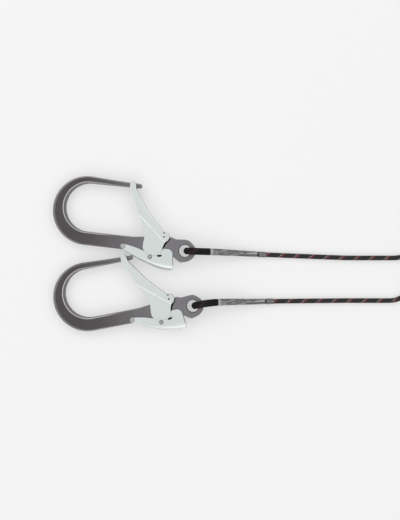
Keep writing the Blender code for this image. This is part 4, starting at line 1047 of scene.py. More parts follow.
def divided(points, step):
    """A closed outline with its long runs divided."""
    made = []
    for a, b in zip(points, points[1:] + points[:1]):
        count = max(1, round((b - a).length / step))
        made += [a.lerp(b, k / count) for k in range(count)]
    return made


print("the gate's arm is", round((edge_ends[-1] - edge_ends[0]).length / MM), "mm long")

# %% Gate
step_line = inner_edge[1:]
smooth_head = softened(outer_edge[-1:] + head + inner_edge[:1], 1.6 * MM)[3:-3]
arm_outline = divided(boss_edge + outer_edge[:-1] + smooth_head + inner_edge, 3.0 * MM)
arm_plate = plate("pressed_gate", arm_outline, -ARM_OUT, ARM_OUT)


def arm_weight(middle):
    """1 along the fold, less towards its ends, at the step and along the sheared edges."""
    if near_line(middle.xy, outer_edge):
        to_end = min((middle.xy - outer_edge[0]).length, (middle.xy - outer_edge[-1]).length)
        return SHEARED + (1.0 - SHEARED) * ease((to_end / MM - 1.0) / 18.0)
    return STEPPED if near_line(middle.xy, step_line) else SHEARED


weigh_edges(arm_plate, arm_weight)
modified(arm_plate, "BEVEL", width=FOLD_R, segments=4, limit_method="WEIGHT", use_clamp_overlap=False)
cheek_edge = mm((-44.4, 29.4), (-42.3, 25.8), (-39.3, 19.7), (-36.4, 12.6), (-34.7, 6.8), (-32.7, 4.9),
                (-32.1, -2.4), (-32.8, -9.6), (-33.5, -15.3), (-33.2, -21.0), (-31.5, -25.3), (-25.7, -28.6),
                (-19.7, -30.7), (-13.7, -31.6), (-8.2, -30.9), (-4.2, -28.0), (-1.9, -24.2), (-1.1, -20.2),
                (-0.7, -17.9), (0.4, -13.8), (1.4, -11.3), (3.3, -6.7), (-8.7, 6.3), (-23.7, 23.3),
                about=GATE_PIVOT)
cheek = plate("cheek", softened(cheek_edge, 2.2 * MM), -PLATE_OUT, PLATE_OUT, 0.45 * MM, 3)
combined(arm_plate, "UNION", cheek, solver="MANIFOLD")
print("gate before milling:", len(arm_plate.data.polygons), "faces")

# %% Room between the cheeks
web = beside(outer_edge, SHEET)
web_end = Vector((web[-1].x - 1.4 * MM, NOSE_LOW - 0.6 * MM))
past_nose = NOSE_X + 6.0 * MM
channel = [*web, web_end, Vector((past_nose, web_end.y)), Vector((past_nose, HEAD.y + 14.0 * MM))]
channel += mm((-95.0, 93.2), (-95.0, -50.0), (15.0, -50.0), (15.0, 12.0), (-0.6, 10.4), about=GATE_PIVOT)
step_run = step_line[-1] - step_line[0]
below_step = Vector((step_run.y, -step_run.x)).normalized()
crease_start = step_line[0] + below_step * 0.45 * MM
notch_at = Vector((-36.5, 25.9)) * MM
notch = [notch_at + Vector((2.1 * MM * math.cos(a), 1.3 * MM * math.sin(a))) for a in circle(24)]
relief = arc(Vector((-79.4, 45.8)) * MM, 1.1 * MM, 0, 345, 23)


def strip(path, half):
    """A strip that reaches as far on either side of a path."""
    return [*beside(path, half), *reversed(beside(path, -half))]


def turned_about(point, pivot, angle):
    rel = point - pivot
    return pivot + Vector((rel.x * math.cos(angle) - rel.y * math.sin(angle),
                           rel.x * math.sin(angle) + rel.y * math.cos(angle)))


def cam_path():
    """The way of the lock pin inside each cheek while gate and lever turn."""
    path = []
    for share in [k / 10 for k in range(-1, 12)]:
        pin = turned_about(LOCK_PIN, LEVER_PIVOT, math.radians(LEVER_TURN) * share)
        path.append(turned_about(pin, GATE_PIVOT, -math.radians(GATE_TURN) * share))
    return path


crease = strip([crease_start + step_run * share for share in (0.5, 0.62, 0.74, 0.86, 0.97)], 0.25 * MM)
inner_side, above_arm = PLATE_IN - 1.0 * MM, ARM_OUT + 1.0 * MM
combined(
    arm_plate,
    "DIFFERENCE",
    plate("channel", channel, -PLATE_IN, PLATE_IN),
    bore("gate_bore", GATE_RIVET_R + GAP, 13.0 * MM, GATE_PIVOT),
    *both_sides("cam", strip(cam_path(), LOCK_PIN_R), inner_side, PLATE_IN + 1.0 * MM),
    *both_sides("crease", crease, PLATE_OUT - 0.5 * MM, above_arm),
    *both_sides("notch", notch, inner_side, above_arm),
    *both_sides("relief", relief, inner_side, above_arm),
    solver="MANIFOLD",
)
crisp(arm_plate, 30.0)
print("pressed gate:", len(arm_plate.data.polygons), "faces")

# %% [markdown]
# ## Palm lever
# The lever is a second pressed sheet, folded round its lower edge, and that fold opens into the broad round
# back that the palm presses. A row of U-shaped sections makes it: each starts on the top edge of one cheek,
# runs flat down it, turns round the back and comes up the other cheek. Solidify gives the sheet its 1.7 mm,
# its broad end is trimmed to the real outline, and at the pivot end the back is cut away, because the spine
# passes there between two bare lugs.

# %% Edges of the lever
lower = [(-104.6, -7.0), (-103.6, -8.2), (-101.6, -9.6), (-98.0, -12.0), (-90.6, -15.5), (-79.1, -20.5),
         (-70.5, -23.9), (-62.0, -26.9), (-55.5, -29.2), (-49.1, -31.2), (-44.9, -32.4), (-40.6, -33.4),
         (-35.0, -34.4), (-29.9, -34.9), (-25.0, -35.1), (-19.5, -35.2), (-14.0, -35.2)]
upper = [(-104.6, -1.6), (-103.6, -0.7), (-101.6, -0.1), (-98.0, -0.6), (-90.6, -1.7), (-81.3, -3.6),
         (-74.5, -5.6), (-68.0, -7.4), (-60.0, -8.0), (-52.0, -7.9), (-45.0, -7.5), (-38.5, -4.0),
         (-35.0, -0.8), (-29.0, -0.3), (-24.0, -0.3), (-19.0, -0.3), (-14.0, -0.3)]
square_end = mm((-120.0, 20.0), (-120.0, -50.0), (-30.0, -50.0), (-25.5, -35.15), (-21.5, -34.9),
                (-19.2, -34.3), (-17.6, -33.2), (-16.9, -31.6), (-16.8, -29.4), (-17.0, -26.4),
                (-17.8, -21.0), (-18.3, -17.4), (-18.8, -13.4), (-19.2, -9.0), (-20.0, -4.9),
                (-21.9, -2.5), (-25.0, -0.9), (-30.0, 20.0))
round_depth = [1.2, 1.5, 1.9, 2.1, 2.4, 3.2, 4.2, 5.8, 7.2, 8.6, 9.6, 10.6, 11.8, 12.6, 13.0, 13.0, 13.0]
top_line, low_line = (smooth_line(mm(*points), 3) for points in (upper, lower))
print("the lever's back is", round(length_of(low_line), 3), "m long")

# %% Palm lever


def lever_section(top, low, depth):
    """A U from the top edge of the upper cheek, round the back, to the top edge of the lower one."""
    run = low - top
    flat_share = 1.0 - min(0.9, depth * MM / run.length)
    section = [(flat_share * k / 4, 1.0) for k in range(4)]
    for k in range(25):
        a = math.pi * k / 24
        section.append((flat_share + (1.0 - flat_share) * math.sin(a), math.cos(a)))
    section += [(flat_share * k / 4, -1.0) for k in (3, 2, 1, 0)]
    return [Vector((*(top + run * share), LEVER_OUT * level)) for share, level in section]


depths = np.interp(np.arange(len(top_line)) / 3.0, np.arange(len(round_depth)), round_depth)
palm_lever = laid("palm_lever", [lever_section(*station) for station in zip(top_line, low_line, depths)])
middle = Vector((-60.0 * MM, -15.0 * MM, 0.0))
outward = sum((f.normal.dot(f.center - middle) for f in palm_lever.data.polygons))
edit(palm_lever, merge, *([bpy.ops.mesh.flip_normals] if outward < 0.0 else []))
modified(palm_lever, "SOLIDIFY", thickness=SHEET, offset=-1.0)
print("folded lever:", len(palm_lever.data.polygons), "faces")

# %% Lugs, slot and holes of the lever
trimmed = softened(square_end, 1.5 * MM, 2)
combined(palm_lever, "INTERSECT", plate("trimmed", trimmed, -14.0 * MM, 14.0 * MM), solver="MANIFOLD")
lugs = both_sides("lug", disc(LEVER_PIVOT, 4.2 * MM), LEVER_IN, LEVER_OUT, 0.4 * MM)
combined(palm_lever, "UNION", *lugs, solver="MANIFOLD")
slot = mm((11.3, 1.6), (15.5, 1.6), (19.0, 2.9), (19.9, 5.2), (17.2, 5.5), (11.6, 4.2), about=LOCK_PIN)
lug_room = mm((-115.0, -30.0), (-89.0, -30.0), (-89.0, 10.0), (-115.0, 10.0))
wide = 2.0 * LEVER_OUT
pocket_r = 3.8 * MM
combined(
    palm_lever,
    "DIFFERENCE",
    plate("lug_gap", lug_room, -LEVER_IN, LEVER_IN),
    bore("lever_bore", LEVER_RIVET_R + GAP, wide, LEVER_PIVOT),
    bore("lock_bore", LOCK_PIN_R + GAP, wide, LOCK_PIN),
    turned("pocket_above", [(pocket_r, LEVER_OUT - 0.9 * MM), (pocket_r, wide)], LOCK_PIN),
    turned("pocket_below", [(pocket_r, -wide), (pocket_r, 0.9 * MM - LEVER_OUT)], LOCK_PIN),
    plate("slot", softened(slot, 1.2 * MM), 0.0, wide),
    solver="MANIFOLD",
)
crisp(palm_lever, 32.0)
print("palm lever:", len(palm_lever.data.polygons), "faces")

# %% [markdown]
# ## Silver-white sheet
# Gate and lever are pressed steel with a pale, cool, silver-white coat. It shines more like metal than like
# paint: flat faces look even, a bend that turns towards the lamps goes white, and one that turns to the
# horizon goes dark. A mostly metallic shader gives that by itself, and the colour adds to it: faces that lean
# a little along the bends get a painted highlight, steep edge faces a painted dark shade, and the flat inner
# faces a painted near-black shade. Fine waves and a few dull scuffs from scaffold tubes break up its gloss.
# The lip of the gate's step gets a painted matte white highlight, found by its distance from the step's line.

# %% Finish of gate and lever
BEND_HIGHLIGHT, EDGE_SHADE, INNER_SHADE = (0.93, 0.95, 0.95, 1), (0.20, 0.205, 0.21, 1), (0.06, 0.06, 0.065, 1)
silver_white, tree, shader = finish("silver_white")
where = local_place(tree)
wave = noise(tree, where, 320.0, 2.0)
scuff = between(tree, noise(tree, scaled(tree, where, 1.0, 4.0, 1.0), 110.0, 4.0), 0.64, 0.76)
coat = mix(tree, noise(tree, where, 25.0), (0.60, 0.65, 0.64, 1), (0.67, 0.715, 0.705, 1))
coat = mix(tree, times(tree, scuff, 0.3), coat, (0.45, 0.46, 0.47, 1))
lean = lean_of(tree)
# Painted highlight: faces that lean a little, along the bends, are painted near white.
coat = mix(tree, between(tree, lean, 0.03, 0.12), coat, BEND_HIGHLIGHT)
# Painted shade: steep faces along the folds and edges are painted dark.
coat = mix(tree, times(tree, between(tree, lean, 0.45, 0.75), 0.75), coat, EDGE_SHADE)
x_place, y_place, z_place = split(tree, where)
depth = calc(tree, "ABSOLUTE", z_place)
# Painted shade: the flat inner faces between the cheeks are painted near black.
inner_shade_mask = calc(tree, "LESS_THAN", depth, LEVER_IN + 0.2 * MM)
coat = mix(tree, times(tree, inner_shade_mask, calc(tree, "LESS_THAN", lean, 0.02)), coat, INNER_SHADE)


def measured_along(direction, start):
    """How far a place lies from a point of the drawing, along a direction."""
    x_share = times(tree, less(tree, x_place, start.x), direction.x)
    return calc(tree, "ADD", x_share, times(tree, less(tree, y_place, start.y), direction.y))


# Painted highlight: a matte white line along the lip of the gate's step.
from_lip = calc(tree, "ABSOLUTE", calc(tree, "ADD", measured_along(below_step, step_line[0]), 0.4 * MM))
down_step = measured_along(step_run.normalized(), step_line[0])
lip_highlight = times(tree, between(tree, from_lip, 1.0 * MM, 0.6 * MM), calc(tree, "GREATER_THAN", depth, PLATE_OUT),
            calc(tree, "GREATER_THAN", down_step, 0.0), calc(tree, "LESS_THAN", down_step, step_run.length))
coat = mix(tree, lip_highlight, coat, (0.98, 0.99, 0.99, 1))
feed(tree, shader, Base_Color=coat, Roughness=between(tree, scuff, 0.0, 1.0, 0.3, 0.46),
     Metallic=between(tree, lip_highlight, 0.0, 1.0, 0.7, 0.0), Normal=bump(tree, wave, 0.0001, 0.3))
on_both_hooks(arm_plate, "gate", "gate", "white_sheet", silver_white)
on_both_hooks(palm_lever, "lever", "lever", "white_sheet", silver_white)

# %% [markdown]
# ## Rivets and the lock pin
# Two rivets carry the gate and the lever, and a short pin on the lever slides in the gate's grooves and ties
# the two together. Each is a turned piece: a shank with a head on both sides, its face dished by the rivet
# tool. One half profile, mirrored about the middle plane, describes each of them.

# %% Rivets and pin


def pin_profile(half):
    """The whole profile from the half above the middle plane, given in millimetres from the shank up."""
    points = [(r * MM, z * MM) for r, z in half]
    return [(r, -z) for r, z in reversed(points)] + points


head_low, head_high = ARM_OUT / MM + 0.3, ARM_OUT / MM + 1.2
gate_rivet = [(3.0, 0.0), (3.0, head_low), (3.9, head_low), (4.2, head_low + 0.25), (4.15, head_high - 0.35),
              (3.9, head_high - 0.08), (3.5, head_high), (2.5, head_high - 0.05), (2.1, head_high - 0.3),
              (1.7, head_high - 0.62), (1.0, head_high - 0.7), (0.3, head_high - 0.72)]
head_low, head_high = LEVER_OUT / MM + 0.3, LEVER_OUT / MM + 1.2
lever_rivet = [(2.3, 0.0), (2.3, head_low), (3.3, head_low), (3.5, head_low + 0.25), (3.4, head_high - 0.3),
               (3.0, head_high - 0.05), (2.4, head_high), (1.7, head_high - 0.08), (1.3, head_high - 0.35),
               (0.6, head_high - 0.42), (0.2, head_high - 0.42)]
flush = LEVER_OUT / MM
lock_pin = [(2.2, 0.0), (2.2, flush - 0.6), (3.35, flush - 0.6), (3.5, flush - 0.4), (3.5, flush - 0.1),
            (3.3, flush + 0.1), (2.7, flush + 0.1), (2.45, flush - 0.15), (1.9, flush - 0.2),
            (1.8, flush + 0.1), (1.8, flush + 0.8), (1.5, flush + 1.0), (0.8, flush + 1.1),
            (0.2, flush + 1.12)]


def pin_finish(name, centre, bright, shade_rings):
    """Turned steel, with painted shade between each pair of radii round the pin's axis."""
    made, tree, shader = finish(name, Metallic=1.0)
    where = local_place(tree)
    brushed = noise(tree, where, 900.0, 3.0)
    axis = (centre.x, centre.y, 0.0)
    from_axis = add(tree, "VectorMath", {0: where, 1: axis}, operation="SUBTRACT").outputs[0]
    flat = add(tree, "VectorMath", {0: from_axis, 1: (1.0, 1.0, 0.0)}, operation="MULTIPLY").outputs[0]
    radius = add(tree, "VectorMath", {0: flat}, operation="LENGTH").outputs["Value"]
    colour = mix(tree, brushed, grey(0.75 * bright), grey(bright))
    # Painted shade: near-black rings in the dished centres and in the grooves and gaps round the heads.
    for low, high in shade_rings:
        ring = times(tree, between(tree, radius, (low - 0.15) * MM, (low + 0.15) * MM),
                     between(tree, radius, (high - 0.15) * MM, (high + 0.15) * MM, 1.0, 0.0))
        colour = mix(tree, ring, colour, (0.012, 0.012, 0.013, 1))
    feed(tree, shader, Base_Color=colour, Roughness=between(tree, brushed, 0.2, 0.8, 0.22, 0.4),
         Normal=bump(tree, brushed, 0.00003, 0.5))
    return made


for name, half, centre, node, body, bright, shade_rings in (
    ("gate_rivet", gate_rivet, GATE_PIVOT, "gate_rivet", "hook", 0.8, [(-1.0, 1.5)]),
    ("lever_rivet", lever_rivet, LEVER_PIVOT, "lever_rivet", "hook", 0.55, [(-1.0, 0.9), (2.9, 3.6)]),
    ("lock_pin", lock_pin, LOCK_PIN, "lock_pin", "lever", 0.55, [(1.75, 2.45), (3.3, 3.9)]),
):
    pin = soft_shading(turned("turned_" + name, pin_profile(half), centre), 35.0)
    on_both_hooks(pin, node, body, "steel", pin_finish(name + "_steel", centre, bright, shade_rings))

# %% [markdown]
# ## Gate spring
# A flat torsion spring shuts the gate. Its wire winds nearly once round the rivet, between the lug and the
# cheek, and its leg pushes on the gate from inside. It is a skin along a spiral that ends in a straight.

# %% Gate spring
SPRING_WIRE_R = 0.6 * MM
inner_r, growth, turns = GATE_RIVET_R + 2.0 * GAP + SPRING_WIRE_R, 1.4 * MM, 0.9
arm_way = (HEAD - GATE_PIVOT).normalized()
leaves_at = math.atan2(arm_way.y, arm_way.x) - math.radians(60.0)
height = SPINE_HALF + GAP + SPRING_WIRE_R
spiral = []
for share in [k / 48 for k in range(49)]:
    angle, radius = leaves_at - 2.0 * math.pi * turns * (1.0 - share), inner_r + growth * turns * share
    around = GATE_PIVOT + Vector((math.cos(angle), math.sin(angle))) * radius
    spiral.append(Vector((*around, height)))
leg = (spiral[-1] - spiral[-2]).normalized()
spring_line = spaced([*spiral, spiral[-1] + leg * 8.0 * MM], 0.5 * MM)
wire_rings = round_rings(spring_line, SPRING_WIRE_R, 12)
spring = soft_shading(skin("wound_gate_spring", wire_rings), 60.0)


def grained_steel(name, scale, dark, pale, smooth, rough, depth):
    """Steel whose tone, gloss and relief follow one fine grain."""
    made, tree, shader = finish(name, Metallic=1.0)
    grain = noise(tree, objects_place(tree), scale, 3.0)
    feed(tree, shader, Base_Color=mix(tree, grain, grey(dark), grey(pale)),
         Roughness=between(tree, grain, 0.2, 0.8, smooth, rough), Normal=bump(tree, grain, depth, 0.4))
    return made


spring_wire = grained_steel("spring_wire", 1300.0, 0.2, 0.42, 0.25, 0.45, 0.00003)
on_both_hooks(spring, "gate_spring", "gate", "spring_steel", spring_wire)

# %% [markdown]
# ## Eye loops
# Each leg ends in an eye: the rope turns back on itself round the hook's ring or the link's wire, standing
# on edge with one strand above the metal and one below. A black woven cover, thicker than the rope, guards
# that bend. Its skin is the rope's own with more and finer yarns, drawn on a line that goes round the metal.

# %% Line round a rim


def point_at(line, distance):
    """The point at a distance along a line, which goes on straight past both ends."""
    walked = 0.0
    for a, b in zip(line, line[1:]):
        span = (b - a).length
        if walked + span >= distance:
            return a.lerp(b, (distance - walked) / span)
        walked += span
    return line[-1] + (line[-1] - line[-2]).normalized() * (distance - walked)


def upright(line, distance):
    """The point there, and the directions sideways and up, both square to the line."""
    along = (point_at(line, distance + MM) - point_at(line, distance - MM)).normalized()
    sideways = Vector((-along.y, along.x, 0.0)).normalized()
    return point_at(line, distance), sideways, along.cross(sideways).normalized()


def loop_line(line, rim_in, rim_out, rim_half):
    """The strand's middle: out of the sleeve, in above the rim, down round it and back below it."""
    away, mouth = 0.5 * LOOP_D + GAP, 0.5 * LOOP_D - 0.3 * MM
    half = [(LOOP_LENGTH + 5.0 * MM, mouth - 0.3 * MM)]
    for share in (1.0, 0.94, 0.72, 0.42, 0.18):
        off = mouth + (rim_half + away - mouth) * (1.0 - ease(share))
        half.append((rim_out + (LOOP_LENGTH - rim_out) * share, off))
    half += [(rim_out, rim_half + away), (0.5 * (rim_in + rim_out), rim_half + away)]
    half += [(p.x, p.y) for p in arc((rim_in, rim_half), away, 90, 180, 5)]
    path = []
    for distance, off in [*half, *((distance, -off) for distance, off in reversed(half))]:
        here, _, up = upright(line, distance)
        path.append(here + up * off)
    return spaced(smooth_line(path, 6), 0.7 * MM)


eye_line = loop_line(leads["upper"], EYE_R, RING_R, RING_HALF)
print("the line round a hook's ring is", round(length_of(eye_line), 3), "m long")

# %% Woven eyes
EYE_YARNS, EYE_PITCH = 12, 36.0 * MM
WIRE = LINK_WIRE_R
eye_cover, tree, shader = finish("woven_eye_cover", Roughness=0.9, Specular_IOR_Level=0.15)
on_top, crown, yarn = braid_nodes(tree, EYE_YARNS, EYE_PITCH)
fibres = noise(tree, scaled(tree, uv_map(tree), 300, 2600, 1), 1.0)
colour = mix(tree, fibres, grey(0.004), grey(0.016))
for number, strength, tone in ((3.0, 0.7, (0.09, 0.010, 0.012, 1)), (4.0, 0.6, (0.05, 0.055, 0.05, 1))):
    colour = mix(tree, times(tree, marked_yarn(tree, yarn, number, on_top), strength), colour, tone)
feed(tree, shader, Base_Color=colour, Normal=bump(tree, fibres, 0.0002, 0.5, bump(tree, crown, 0.0004, 0.5)))


def woven_eye(name, node, line, rim_in, rim_out, rim_half):
    """One eye's cover in place of its CAD node."""
    path = loop_line(line, rim_in, rim_out, rim_half)
    rings = rope_rings(path, 0.5 * LOOP_D, EYE_YARNS, EYE_PITCH, 0.3 * MM, 1.1 * MM)
    eye = dress(soft_shading(place(skin(name, rings)), 80.0), eye_cover)
    declare(eye, "lanyard", "black_cover", node)
    print(name, len(eye.data.polygons), "faces")


for side in TURN:
    woven_eye(f"{side}_woven_eye", f"{side}_eye_loop", leads[side], EYE_R, RING_R, RING_HALF)
    woven_eye(f"{side}_woven_end_eye", f"{side}_end_loop", endings[side], -WIRE, WIRE, WIRE)

# %% [markdown]
# ## Shrink sleeves
# Where the rope's two strands meet they are stitched, and a heat-shrunk sleeve hides the stitches. It is
# high and narrow where it holds two strands and round where it holds one. Each of its rings is two half
# circles, one over the other, that close into one circle along the sleeve. Its lips turn in round the rope.

# %% Sleeves
SLEEVE_WALL, SLEEVE_TALL = 0.6 * MM, LOOP_D - 0.4 * MM
LIP = [(d * MM, inset * MM) for d, inset in ((2.4, 1.1), (0.3, 0.8), (0.0, 0.45), (0.25, 0.12), (0.9, 0.0))]


def stadium(here, sideways, up, wide, tall):
    """A ring of two half circles, one above and one below the middle."""
    ring = []
    for a in circle(32, 0.5):
        lift = wide * math.sin(a) + math.copysign(tall - wide, math.sin(a))
        ring.append(here + sideways * wide * math.cos(a) + up * lift)
    return ring


def shrink_sleeve(name, node, line, length):
    """A sleeve from two strands to one, along the leg's line."""
    stations = LIP + [(float(d), 0.0) for d in np.arange(2.0 * MM, length - 2.0 * MM, 1.5 * MM)]
    stations += [(length - d, inset) for d, inset in reversed(LIP)]
    rings = []
    for distance, inset in stations:
        share = distance / length
        wide = 0.5 * LOOP_D + (0.5 * ROPE_D + SLEEVE_WALL - 0.5 * LOOP_D) * share
        tall = SLEEVE_TALL + (0.5 * ROPE_D + SLEEVE_WALL - SLEEVE_TALL) * ease(share)
        rings.append(stadium(*upright(line, sleeve_start + distance), wide - inset, tall - inset))
    sleeve = dress(soft_shading(place(skin(name, rings)), 50.0), sleeve_finish)
    declare(sleeve, "lanyard", "grey_sleeve", node)
    print(name, round(length, 4), "m long")


sleeve_finish, tree, shader = finish("shrink_sleeve", Coat_Weight=0.25, Coat_Roughness=0.15)
crown = braid_nodes(tree, YARNS, YARN_PITCH)[1]
cloud = noise(tree, objects_place(tree), 260.0, 3.0)
wrinkles_and_highlights = noise(tree, scaled(tree, uv_map(tree), 16, 60, 1), 1.0, 3.0)
colour = mix(tree, cloud, grey(0.045), grey(0.10))
colour = mix(tree, times(tree, crown, 0.35), colour, grey(0.14))
# Painted highlight: long pale streaks along the sleeve; the same noise also raises its wrinkles.
colour = mix(tree, between(tree, wrinkles_and_highlights, 0.52, 0.62), colour, (0.42, 0.42, 0.43, 1))
# Painted highlight: a pale band near the sleeve's start.
sleeve_lip_highlight = between(tree, split(tree, uv_map(tree))[1], 4.0 * MM, 9.0 * MM, 1.0, 0.0)
colour = mix(tree, times(tree, sleeve_lip_highlight, 0.6), colour, grey(0.5))
feed(tree, shader, Base_Color=colour, Roughness=between(tree, cloud, 0.2, 0.8, 0.28, 0.45),
     Normal=bump(tree, wrinkles_and_highlights, 0.0004, 0.6, bump(tree, crown, 0.0003, 0.35)))
end_length = END_SLEEVE_LENGTH - 4.0 * GAP
for side in TURN:
    shrink_sleeve(f"{side}_shrunk_sleeve", f"{side}_sleeve", leads[side], SLEEVE_LENGTH)
    shrink_sleeve(f"{side}_shrunk_end_sleeve", f"{side}_end_sleeve", endings[side], end_length)

# %% [markdown]
# ## Clear rings
# A short clear tube sits on the rope beside each hook's sleeve. A solid rod of plastic would look like
# glass, so its wall is one closed skin, out along the outside and back along the bore.

# %% Clear rings
clear_plastic, tree, shader = finish("clear_plastic", Alpha=0.55, IOR=1.46, Coat_Weight=0.4)
haze = noise(tree, objects_place(tree), 500.0, 3.0)
feed(tree, shader, Base_Color=mix(tree, haze, (0.10, 0.10, 0.105, 1), (0.30, 0.30, 0.31, 1)),
     Roughness=between(tree, haze, 0.3, 0.7, 0.08, 0.3), Normal=bump(tree, haze, 0.0001, 0.5))
outer_r, bore_r, clear_long = 5.0 * MM, 4.3 * MM, 12.0 * MM
wall = [(bore_r + 0.1 * MM, 0.0), (outer_r - 0.2 * MM, 0.0), (outer_r, 0.3 * MM),
        (outer_r, clear_long - 0.3 * MM), (outer_r - 0.2 * MM, clear_long), (bore_r + 0.1 * MM, clear_long),
        (bore_r, clear_long - 0.2 * MM), (bore_r, 0.2 * MM)]
for side in TURN:
    start = rope_start + GAP + 2.0 * MM
    rings = [stadium(*upright(leads[side], start + along), radius, radius) for radius, along in wall]
    clear = dress(soft_shading(place(skin(f"{side}_clear_ring", rings, closed=True)), 50.0), clear_plastic)
    declare(clear, "lanyard", "clear_sleeve", f"{side}_clear_sleeve")
print("clear rings", clear_long, "m long")

# %% [markdown]
# ## Woven bands
# The coil's ties and the absorber's loops are woven band. A band is a skin whose rings are flat sections
# with round edges, evenly spaced round it, so that the UV map counts its yarns. Its finish is a plain weave
# worked out from that map, with two lighter yarns near each edge.

# %% Bands
BAND_POINTS = 20
RED_THREAD = (0.33, 0.02, 0.025, 1)


def band_ring(middle, across, out, width, thick):
    """A flat section with round edges."""
    ring = []
    for face in (1.0, -1.0):
        for k in range(BAND_POINTS + 1):
            share = 1.0 - 2.0 * k / BAND_POINTS
            edge = max(0.0, (abs(share) * width - width + thick) / thick)
            lift = max(0.35, math.sqrt(max(0.0, 1.0 - edge * edge)))
            ring.append(middle + across * face * share * 0.5 * width + out * face * lift * 0.5 * thick)
    return ring


def woven(tree, across_yarns, pitch):
    """The height of a plain weave from the UV map, and the two numbers of the map."""
    u, v, _ = split(tree, uv_map(tree))
    height = crossing_yarns(tree, times(tree, u, across_yarns), calc(tree, "DIVIDE", v, pitch))[1]
    return height, u, v


def band_finish(name, tack_ranges=()):
    """Woven band, with a dense block of red stitches between each pair of places along X."""
    made, tree, shader = finish(name, Roughness=0.8, Sheen_Weight=0.2)
    height, u, _ = woven(tree, 44.0, 1.3 * MM)
    edge = calc(tree, "ABSOLUTE", less(tree, calc(tree, "ABSOLUTE", less(tree, u, 0.5)), 0.25))
    tracer = times(tree, between(tree, edge, 0.168, 0.172), between(tree, edge, 0.196, 0.2, 1.0, 0.0))
    fibre = noise(tree, objects_place(tree), 1600.0, 2.0)
    colour = mix(tree, fibre, grey(0.012), grey(0.04))
    colour = mix(tree, tracer, colour, grey(0.22))
    # Painted shade: the low places of the weave, between its yarns, are painted near black.
    colour = mix(tree, between(tree, height, 0.0, 0.5, 0.6, 0.0), colour, grey(0.002))
    relief = bump(tree, height, 0.0004, 0.6)
    x, y, _ = split(tree, objects_place(tree))
    for low, high in tack_ranges:
        inside = times(tree, calc(tree, "GREATER_THAN", x, low), calc(tree, "LESS_THAN", x, high))
        zigzag = calc(tree, "PINGPONG", times(tree, x, 1.2), 0.8 * MM)
        thread = calc(tree, "SINE", times(tree, calc(tree, "ADD", y, zigzag), 3900.0))
        stitched = times(tree, inside, between(tree, thread, -0.2, 0.3))
        colour = mix(tree, stitched, colour, RED_THREAD)
        relief = bump(tree, stitched, 0.0005, 0.7, relief)
    feed(tree, shader, Base_Color=colour, Normal=relief)
    return made


print("a band's section has", 2 * (BAND_POINTS + 1), "points")

# %% Coil ties
tie_finish = band_finish("coil_tie_band")
for side, turn in TURN.items():
    centre, outward = coil_centre(turn), Vector((0.0, turn, 0.0))
    across, up = Vector((1.0, 0.0, 0.0)), Vector((0.0, 0.0, 1.0))
    middle = centre + outward * 48.2 * MM + up * 5.7 * MM

    def strap_ring(a, radius, thick, width):
        """A section of the strap at an angle round the bundle."""
        way = outward * math.cos(a) + up * math.sin(a)
        hub = middle + outward * math.copysign(4.3 * MM, math.cos(a))
        return band_ring(hub + way * radius, across, way, width, thick)

    strap_rings = [strap_ring(a, 4.95 * MM, 1.1 * MM, 16.0 * MM) for a in circle(48, 0.5)]
    flap_rings = []
    for k in range(12):
        radius, width = 5.85 * MM - 0.6 * MM * (k == 0), 15.0 * MM - 5.0 * MM * (k == 11)
        flap_rings.append(strap_ring(math.radians(70.0 - 7.0 * k), radius, 0.7 * MM, width))
    strap = joined(skin(f"{side}_coil_strap", strap_rings, closed=True), skin("flap", flap_rings))
    dress(soft_shading(place(strap), 40.0), tie_finish)
    declare(strap, "lanyard", "webbing", f"{side}_coil_tie")
    print(strap.name, len(strap.data.polygons), "faces")

# %% [markdown]
# ## Steel link
# Both legs and the absorber hang on one welded ring of round bar. It is a rolled skin whose two ends meet,
# a little thicker at the weld, where the plating is also burnt darker.

# %% Steel link
WELD_ANGLE = math.radians(90.0)
link_rings = []
for a in circle(120):
    away = math.atan2(math.sin(a - WELD_ANGLE), math.cos(a - WELD_ANGLE))
    radius = WIRE * (1.0 + 0.07 * math.exp(-(away / 0.07) ** 2))
    point, up = Vector((LINK_R * math.cos(a), LINK_R * math.sin(a), 0.0)), Vector((0.0, 0.0, 1.0))
    out = point.normalized()
    link_rings.append([point + (out * math.cos(b) + up * math.sin(b)) * radius for b in circle(28)])
link_place = Matrix.Translation(Vector((LINK_X, MID_Y, LINK_Z)) - ORIGIN)
link = soft_shading(place(skin("welded_link", link_rings, closed=True), link_place), 60.0)
plated, tree, shader = finish("plated_steel", Metallic=1.0)
where = objects_place(tree)
centred = add(tree, "Mapping", {"Vector": where, "Location": tuple(-link_place.translation)}).outputs[0]
from_weld, weld_side, _ = split(tree, centred)
burnt = times(tree, between(tree, calc(tree, "ABSOLUTE", from_weld), 2.0 * MM, 9.0 * MM, 1.0, 0.0),
              calc(tree, "GREATER_THAN", weld_side, 0.0))
spots, fine = noise(tree, where, 90.0, 4.0), noise(tree, where, 1400.0, 2.0)
colour = mix(tree, spots, grey(0.42), grey(0.6))
colour = mix(tree, times(tree, burnt, 0.7), colour, (0.13, 0.10, 0.08, 1))
feed(tree, shader, Base_Color=colour, Roughness=between(tree, spots, 0.3, 0.7, 0.24, 0.42),
     Normal=bump(tree, fine, 0.00004, 0.4))
declare(dress(link, plated), "lanyard", "steel", "steel_link")
print("link of", len(link.data.polygons), "faces")

# %% [markdown]
# ## Webbing loops of the absorber
# One band comes out of each end of the absorber, goes round the link or the connector and back in. It is
# folded narrower where it meets the round bar, and a block of stitches holds its two runs together.

